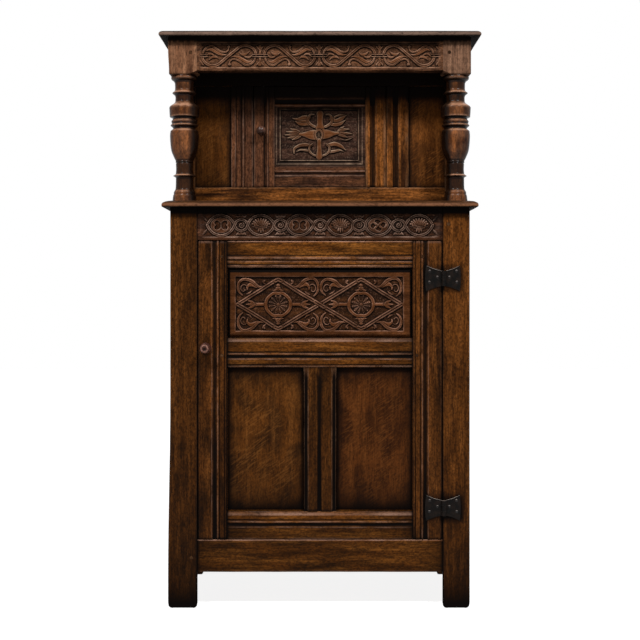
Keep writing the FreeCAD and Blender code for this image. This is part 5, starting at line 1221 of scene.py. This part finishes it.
# Door panel: two linked lozenges, each with a rosette, and leafy scrolls in the corners.
def carve_lozenges():
    work = Relief(-STILE_EDGE, STILE_EDGE, CARVED_LOW, CARVED_TOP, 1.0)
    top, middle = CARVING_HEIGHT, 800.8
    peaks = (-110.6, 108.6)
    tail = [(-54, 5), (-42, 3), (-32, 9), (-22, 18), (-9, 23.5), (4, 23), (13, 14), (15.5, 1), (12, -12),
            (4, -20)]
    lobe = [(-48, 3), (-36, 4), (-26, 9), (-16, 9), (-9, 3), (-9, -4)]
    eye = curl(1.0, -2.0, 10.5, 4.6, 150, -300, 1.25)
    spur = [(-6, -17), (-14, -14), (-20, -8)]
    hook = [(-58, 9), (-52, 14), (-55, 20)]
    tail_widths = (0.35, 0.8, 1.25, 1.15, 1.0, 0.95, 0.85, 0.5)
    leaves = [
        (through(lobe), 11.5, 3.3, (0.2, 0.6, 1.1, 1.0, 0.6, 0.3),
         dict(groove=0.8, moat=1.0, gold=0.95, spread=0.16)),
        (eye, 3.4, 3.0, (0.6, 1.0, 0.9), dict(moat=0.9, gold=0.2)),
        (through(tail), 7.6, 3.7, tail_widths, dict(groove=1.3, moat=1.3, gold=0.6, spread=0.22)),
        (through(spur), 6.0, 2.7, (0.3, 1.0, 0.3), dict(moat=0.8, gold=0.3)),
    ]
    for cx in peaks:
        for sx in (1, -1):
            for sz in (1, -1):
                lean = 1.0 + 0.05 * sx * sz
                ox, oz = cx + sx * 90.5, middle + sz * 43.5
                for path, width, height, widths, looks in leaves:
                    work.band(moved(path, ox, oz, sx, sz * lean), width, height, widths, **looks)
                work.disc(cx + sx * 38.0, middle + sz * 60.5, 4.2, 3.6, 3.2, gold=0.3, moat=1.0)
                work.band(moved(through(hook), ox, oz, sx, sz), 4.6, 2.8, (0.5, 1.0, 0.8), moat=0.8, gold=0.3)
        for sx in (1, -1):
            arm = np.array([(cx + sx * 32, middle), (cx + sx * 72, middle)])
            work.band(arm, 10.0, 3.5, (1.0, 0.85, 1.0, 0.9), moat=1.0, gold=0.95)
            for lean in (1, 0, -1):
                tip = (cx + sx * (84 - 4 * abs(lean)), middle + lean * 10.5)
                petal = [(cx + sx * 60, middle), (cx + sx * 70, middle + lean * 6.5), tip]
                work.band(through(petal), 7.4, 3.3, (0.6, 1.0, 0.4), 0.7, moat=0.7, gold=0.8, spread=0.2)
        for sz in (1, -1):
            work.disc(cx, middle + sz * 41.5, 7.0, 6.0, 3.3, gold=0.7, moat=0.9)
            for lean in (-1, 1):
                twig = [(cx + lean * across, middle + sz * up) for across, up in ((3, 40), (9, 37), (15, 38))]
                work.band(through(twig), 6.0, 3.0, (0.9, 1.0, 0.3), moat=0.6, gold=0.6)
            work.disc(cx, middle + sz * 50.5, 4.6, 4.4, 2.9, gold=0.6, moat=0.8)
        work.disc(cx, middle, 34.0, 32.0, 0.4, 0.0)
        angles = np.linspace(0.0, 2.0 * math.pi, 97)
        lobed = 1.0 + 0.012 * np.cos(8.0 * angles + math.pi) - 0.06 * np.exp(-(np.cos(angles) / 0.16) ** 2)
        ring = np.stack([cx + 32.6 * lobed * np.cos(angles), middle + 31.0 * lobed * np.sin(angles)], axis=1)
        work.band(ring, 8.4, 3.8, (1.0, 1.0), 0.9, moat=1.4, gold=0.85, spread=0.3)
        for k in range(12):
            angle = math.radians(30 * k + 15)
            across, up = math.cos(angle), math.sin(angle)
            tip = (cx + 20.5 * across, middle + 20.0 * up)
            petal = np.array([(cx + 5.0 * across, middle + 5.0 * up), tip])
            work.band(petal, 8.4, 1.8, (0.35, 0.55, 0.85, 1.0), 0.3, moat=0.9, spread=0.34)
            work.band(petal, 2.4, 3.0, (0.5, 1.0, 1.0, 0.8), moat=0.6)
            work.disc(cx + 23.6 * across, middle + 23.0 * up, 2.3, 2.3, 3.1, moat=0.5)
        work.disc(cx, middle, 4.6, 4.6, 2.6, gold=0.2, moat=0.8)
    settings = dict(width=10.4, height=3.9, groove=2.4, moat=1.5, gold=0.25, spread=0.26)
    left, centre, right = -218.0, -1.0, 216.5
    for start, peak, stop in ((left, peaks[0], centre), (centre, peaks[1], right)):
        for level, drop in ((866.5, -3.6), (736.5, 3.6)):
            halfway = 0.5 * (middle + level)
            rise = [(start, middle), (0.5 * (start + peak), halfway + 0.3), (peak - 3, level)]
            fall = [(peak + 3, level), (0.5 * (stop + peak), halfway - 0.3), (stop, middle)]
            for run in (rise, fall):
                work.band(through(run, 3), **settings)
            work.band(np.array([(peak - 8, level + drop), (peak, level), (peak + 8, level + drop)]),
                      **settings)
    work.band(np.array([(centre - 12, middle + 7.2), (centre + 12, middle - 7.2)]), **settings)
    X, Z = work.X, work.Z
    rag = 0.8 * noise(X / 24.0, Z / 24.0, 0.0, 231)
    work.flat(np.maximum(abs(X + 1.5) - 220.5, np.maximum(Z - 873.0, 732.0 - Z)) + rag, top, 1.3, gold=0.35)

    def feathered(x, z):
        from_edge = np.minimum(STILE_EDGE - abs(x), np.minimum(z - CARVED_LOW, CARVED_TOP - z))
        return 4.5 * ease(1.0 - from_edge / 10.0)

    # Painted shadow of the door frame on the panel's border: black under the top rail, dark at the ends and
    # the foot.
    def deep(x, z):
        ends_and_foot = np.maximum(0.93 * ease((abs(x) - 235.5) / 4.5), 0.7 * ease((718.0 - z) / 3.5))
        return np.maximum(0.97 * ease((z - 883.5) / 4.5), ends_and_foot)

    return work.build("door_carved", "lower_door", 6.0, DOOR_PANEL_BACK, oak("carved", "x", 209),
                      ["lower_door_carved_panel"], 233, feathered, 0.5, grime=0.40, shade=deep,
                      back_dirt_and_shade=PANEL_BACK_DIRT)


# Upper door panel: a knotted trunk with scrolled leaves above and below and a palmette to each side.
# Paths are given from the middle of the panel, as (across, up), for the left side and then the right.
def carve_hatch():
    work = Relief(-UP_EDGE, UP_EDGE, UP_PANEL_LOW, UP_PANEL_TOP)
    middle = 1265.0

    def stroke(points, width, widths, gold=0.85, groove=0.7, spread=0.2, height=3.7, moat=1.4):
        work.band(moved(through(points), 0.0, middle), width, height, widths, groove, moat=moat, gold=gold,
                  spread=spread)

    # upper leaves and their scrolls
    stroke([(-30, 46), (-44, 47), (-58, 42), (-75, 44)], 13.0, (0.9, 1.0, 0.8, 0.15))
    stroke([(-26, 29), (-42, 29), (-56, 30), (-69, 37)], 11.0, (0.7, 1.0, 0.9, 0.15))
    stroke([(-34, 38), (-48, 37), (-60, 37)], 8.0, (1.0, 0.8, 0.3), groove=0.4)
    stroke([(30, 43), (44, 38), (57, 43), (72, 53)], 12.0, (0.9, 0.9, 1.0, 0.2))
    stroke([(26, 29), (42, 27), (56, 30), (70, 40)], 11.0, (0.7, 1.0, 0.9, 0.15))
    stroke([(40, 48), (52, 53), (68, 54)], 7.0, (0.8, 1.0, 0.3))
    for side in (-1, 1):
        stroke([(side * 6, 19), (side * 18, 23), (side * 29, 31), (side * 33, 43), (side * 27, 54),
                (side * 17, 55)],
               8.0, (0.9, 1.0, 1.0, 0.9, 0.8, 0.5), 0.7, 1.1)
        work.sink(side * 20.5, middle + 44.0, 6.5, 7.0, 3.2)
    stroke([(0, 57), (0, 36), (0, 17)], 19.0, (1.0, 0.85, 0.85, 1.25), 0.9, 0.5, 0.5)
    # arms and palmettes
    for tip in ((-81, 16), (-92, 8), (-96, -1), (-89, -9), (-76, -14)):
        stroke([(-50, 0.1 * tip[1]), (-64, 0.65 * tip[1]), tip], 8.6, (0.5, 1.0, 0.9, 0.3), 0.6, 1.0, 0.24)
    for tip in ((66, 22), (80, 15), (88, 2), (76, -8)):
        stroke([(46, 3 + 0.1 * tip[1]), (58, 3 + 0.6 * tip[1]), tip], 8.6, (0.5, 1.0, 0.9, 0.3), 0.6, 1.0,
               0.24)
    stroke([(60, -14), (74, -15), (90, -8)], 5.5, (0.4, 1.0, 0.3), 0.2)
    stroke([(-13, -1), (-34, 0), (-56, 1)], 29.0, (1.0, 0.86, 0.48, 0.24), 0.95, 0.5, 0.12)
    stroke([(9, 1), (28, 2), (50, 4)], 28.0, (1.0, 0.84, 0.46, 0.24), 0.95, 0.5, 0.12)
    # knot
    work.disc(-3.0, middle - 1.0, 13.0, 17.0, 3.6, 0.2, gold=0.6, moat=1.2)
    work.sink(-3.0, middle - 1.0, 7.5, 10.5, 3.2)
    for points in ([(-10, -1), (4, -1)], [(-3, -10), (-3, 8)], [(-8, 6), (2, -8)], [(-8, -8), (2, 6)]):
        work.band(moved(np.array(points), 0.0, middle), 1.9, 2.9, (0.6, 1.0, 0.6), moat=0.5)
    # lower leaves and their scrolls
    stroke([(-24, -30), (-42, -28), (-58, -31), (-70, -39), (-71, -52)], 11.0, (0.8, 1.0, 0.9, 0.7, 0.3), 0.6)
    stroke([(-26, -47), (-40, -43), (-54, -42), (-63, -46)], 7.0, (0.8, 1.0, 0.8, 0.3), 0.5)
    stroke([(22, -29), (40, -26), (56, -31), (71, -43)], 13.0, (0.8, 1.0, 0.8, 0.2))
    stroke([(22, -48), (38, -46), (54, -43), (64, -46)], 9.0, (0.8, 1.0, 0.8, 0.2), 0.6)
    for side, eye in ((-1, -19.0), (1, 15.5)):
        stroke([(-2 + side * 3, -60), (eye, -55), (eye + side * 9.5, -46), (eye + side * 9.5, -32),
                (eye + side * 2, -25)],
               6.6, (0.9, 1.0, 1.0, 0.9, 0.5), 0.5, 1.0)
        work.sink(eye, middle - 38.0, 5.8, 8.5, 3.2)
    stroke([(-2, -16), (-2, -38), (-2, -61)], 13.0, (0.9, 0.95, 1.3), 0.85, 0.5, 0.5)
    X, Z = work.X, work.Z
    inner = np.maximum(abs(X + 1.5) - 105.5, np.maximum(Z - 1332.5, 1195.5 - Z))
    work.flat(inner, 3.0, 1.6)
    ridge = 0.9 * bell(inner - 1.6, 1.4) - 2.0 * bell(inner - 6.5, 2.6) + 1.3 * bell(inner - 12.2, 1.7)
    work.H = work.H + ridge * (inner > 0)
    # The shade along the top is painted shade under the top rail.
    return work.build("hatch_carved", "upper_door", 113.0, RECESS_PANEL_BACK, oak("hatch", "x", 213),
                      ["upper_door_carved_panel"], 243, None, 0.3, grime=0.30,
                      shade=lambda x, z: 0.35 * ease((z - 1322.0) / 18.0), back_dirt_and_shade=PANEL_BACK_DIRT)


for carve in (carve_frieze, carve_waist, carve_lozenges, carve_hatch):
    carve()


# The same part at the left and at the right, as rows of (node, tone, direction of the grain)
def both_sides(pattern, tone, axis, levels=("",)):
    return [(pattern % (word + level), tone, axis) for side, word in SIDES for level in levels]


# CAD parts that keep their own shape take a softened edge and a wood or iron of their own.
KEPT = both_sides("rear_%s_post", "post", "z")
KEPT += both_sides("%s_rail", "low", "y", ("_side_bottom", "_side_middle", "_side_top"))
KEPT += both_sides("%s_panel", "panel", "z", ("_side_lower", "_side_upper"))
KEPT += both_sides("%s_frieze_side_rail", "rail", "y")
KEPT += both_sides("%s_upper_end", "panel", "z")
KEPT += [("rear_bottom_rail", "dusty", "x"), ("rear_top_rail", "dusty", "x"), ("back_boards", "dusty", "z"),
         ("floor_boards", "dusty", "y"), ("shelf", "dusty", "x"), ("carcase_pegs", "peg", "y"),
         ("lower_door_pegs", "peg", "y")]
WORN_EDGE, WORN_BOARD_EDGE, HINGE_EDGE, NAIL_EDGE = 0.0008, 0.0020, 0.0009, 0.0004
# The paler colours of the irons are painted highlights on faces that look up.
black_iron = iron("black_iron", 131, linear(92, 82, 76), 0.06)
nail_iron = iron("nail_iron", 137, linear(128, 116, 110), 0.18)


def dress(node, material, width=WORN_EDGE, segments=2):
    item = bpy.data.objects[node]
    item.data.materials.clear()
    item.data.materials.append(material)
    bevel = item.modifiers.new("worn_edges", "BEVEL")
    bevel.width = width
    bevel.segments = segments
    bevel.limit_method = "ANGLE"
    bevel.angle_limit = math.radians(40)
    bevel.use_clamp_overlap = True


for seed, (node, tone, axis) in enumerate(KEPT, 101):
    dress(node, oak(tone, axis, seed, FIGURE if tone == "panel" else 0.0),
          WORN_BOARD_EDGE if tone == "dusty" else WORN_EDGE)
for part in ("post", "door"):
    dress("hinge_%s_leaves" % part, black_iron, HINGE_EDGE)
    dress("hinge_%s_nails" % part, nail_iron, NAIL_EDGE)
for node, tone, seed in (("lower_knob", "knob", 124), ("upper_knob", "ball", 125)):
    dress(node, oak(tone, "y", seed, gloss=0.24, shine=0.10, dull=0.3, bump_strength=0.15, grain=0.5),
          WORN_EDGE, 3)


LIP_RADIUS, LIP_SIDES, LIP_Y = 1.5, 8, -2.9


# A forged lip along the top of each hinge wing, its iron paler where it faces up: a painted highlight.
def forged_lip(name, body, side, wing, level):
    path = through([(5.0, 19.6), (0.5 * wing + 2.2, 24.4), (wing - LIP_RADIUS, 32.6)], 8)
    centre = path * (side, 1.0) + (HINGE_X, level)
    angles = np.linspace(0.0, 2.0 * math.pi, LIP_SIDES, endpoint=False)
    ends = np.sin(np.linspace(0.12, math.pi - 0.12, len(centre))) ** 0.5
    rings = []
    for (x, z), end in zip(centre, ends):
        radius = LIP_RADIUS * end
        rings.append(np.stack([np.full(LIP_SIDES, x), LIP_Y + radius * np.sin(angles),
                               z + radius * np.cos(angles)], axis=1))
    make_piece(name, np.concatenate(rings), loft_faces(len(rings), LIP_SIDES), body, lip_iron)


lip_iron = iron("lip_iron", 139, linear(150, 138, 128), 0.12)
for number, level in enumerate(HINGE_LEVELS):
    forged_lip("hinge_lip_post_%d" % number, "carcase", 1, POST_WING, level)
    forged_lip("hinge_lip_door_%d" % number, "lower_door", -1, DOOR_WING, level)


# 1 for rays that show the surroundings themselves, 0 for those that light the case
def seen_rays(tree):
    rays = tree.nodes.new("ShaderNodeLightPath")
    seen = math_node(tree, "MAXIMUM", rays.outputs["Is Camera Ray"], rays.outputs["Is Glossy Ray"])
    return math_node(tree, "MAXIMUM", seen, rays.outputs["Is Transmission Ray"])


FLOOR_REACH = 9
GLOW_AT_CASE, GLOW_AWAY, GLOW_NEAR, GLOW_FAR = 0.87, 0.13, 0.5, 3.0


# A pale floor that keeps the case's shadow and glows white further away
def make_floor():
    mesh = bpy.data.meshes.new("floor")
    corners = [(x * FLOOR_REACH, y * FLOOR_REACH, 0) for x, y in ((-1, -1), (1, -1), (1, 1), (-1, 1))]
    mesh.from_pydata(corners, [], [(0, 1, 2, 3)])
    item = bpy.data.objects.new("floor", mesh)
    bpy.context.scene.collection.objects.link(item)
    material, tree, shader = tree_of("pale_floor")
    shader.inputs["Base Color"].default_value = (0.8, 0.8, 0.8, 1)
    shader.inputs["Roughness"].default_value = 0.9
    shader.inputs["Specular IOR Level"].default_value = 0.0
    coords = tree.nodes.new("ShaderNodeTexCoord").outputs["Object"]
    distance = tree.nodes.new("ShaderNodeVectorMath")
    distance.operation = "LENGTH"
    tree.links.new(coords, distance.inputs[0])
    further = ramp(tree, distance.outputs["Value"], GLOW_NEAR, GLOW_FAR)
    brighter = math_node(tree, "MULTIPLY_ADD", further, GLOW_AWAY)
    brighter.node.inputs[2].default_value = GLOW_AT_CASE
    glow = tree.nodes.new("ShaderNodeEmission")
    tree.links.new(math_node(tree, "MULTIPLY", seen_rays(tree), brighter), glow.inputs["Strength"])
    both = tree.nodes.new("ShaderNodeAddShader")
    tree.links.new(shader.outputs[0], both.inputs[0])
    tree.links.new(glow.outputs[0], both.inputs[1])
    tree.links.new(both.outputs[0], tree.nodes["Material Output"].inputs["Surface"])
    mesh.materials.append(material)


make_floor()


SOFTBOX_SIDE, SOFTBOX_FRONT, SOFTBOX_LEVEL = 1.5, -2.3, 3.6
SOFTBOX_WIDTH, SOFTBOX_HEIGHT, SOFTBOX_POWER = 0.5, 0.55, 98
SOFTBOX_AIM = Vector((0, -0.1, 0.9))
BACKGROUND_SEEN, BACKGROUND_LIGHT = 0.95, 0.05
LENS, LENS_SHIFT, SENSOR = 62.93, -0.0414, 36.0
CAMERA_BACK, CAMERA_LEVEL = -3.133, 0.83


# Two softboxes hang high in front of the case, one to each side.
for side, word in SIDES:
    lamp = bpy.data.lights.new("softbox_" + word, "AREA")
    lamp.shape = "RECTANGLE"
    lamp.size, lamp.size_y = SOFTBOX_WIDTH, SOFTBOX_HEIGHT
    lamp.energy = SOFTBOX_POWER
    softbox = bpy.data.objects.new("softbox_" + word, lamp)
    bpy.context.scene.collection.objects.link(softbox)
    hung = Vector((side * SOFTBOX_SIDE, SOFTBOX_FRONT, SOFTBOX_LEVEL))
    softbox.location = hung
    softbox.rotation_euler = (SOFTBOX_AIM - hung).to_track_quat("-Z", "Y").to_euler()

world = bpy.data.worlds.new("studio")
bpy.context.scene.world = world
world.use_nodes = True
sky = world.node_tree
background = sky.nodes["Background"]
background.inputs["Color"].default_value = (1, 1, 1, 1)
strength = math_node(sky, "MULTIPLY_ADD", seen_rays(sky), BACKGROUND_SEEN)
strength.node.inputs[2].default_value = BACKGROUND_LIGHT
sky.links.new(strength, background.inputs["Strength"])

# The camera stands level in front of the case, where the photograph was taken from.
camera = bpy.data.cameras.new("camera")
camera.lens = LENS
camera.sensor_width = SENSOR
camera.shift_y = LENS_SHIFT
view_point = bpy.data.objects.new("camera", camera)
bpy.context.scene.collection.objects.link(view_point)
view_point.location = (0.0, CAMERA_BACK, CAMERA_LEVEL)
view_point.rotation_euler = (math.radians(90), 0, 0)
bpy.context.scene.camera = view_point

bpy.context.scene.view_settings.view_transform = "Standard"
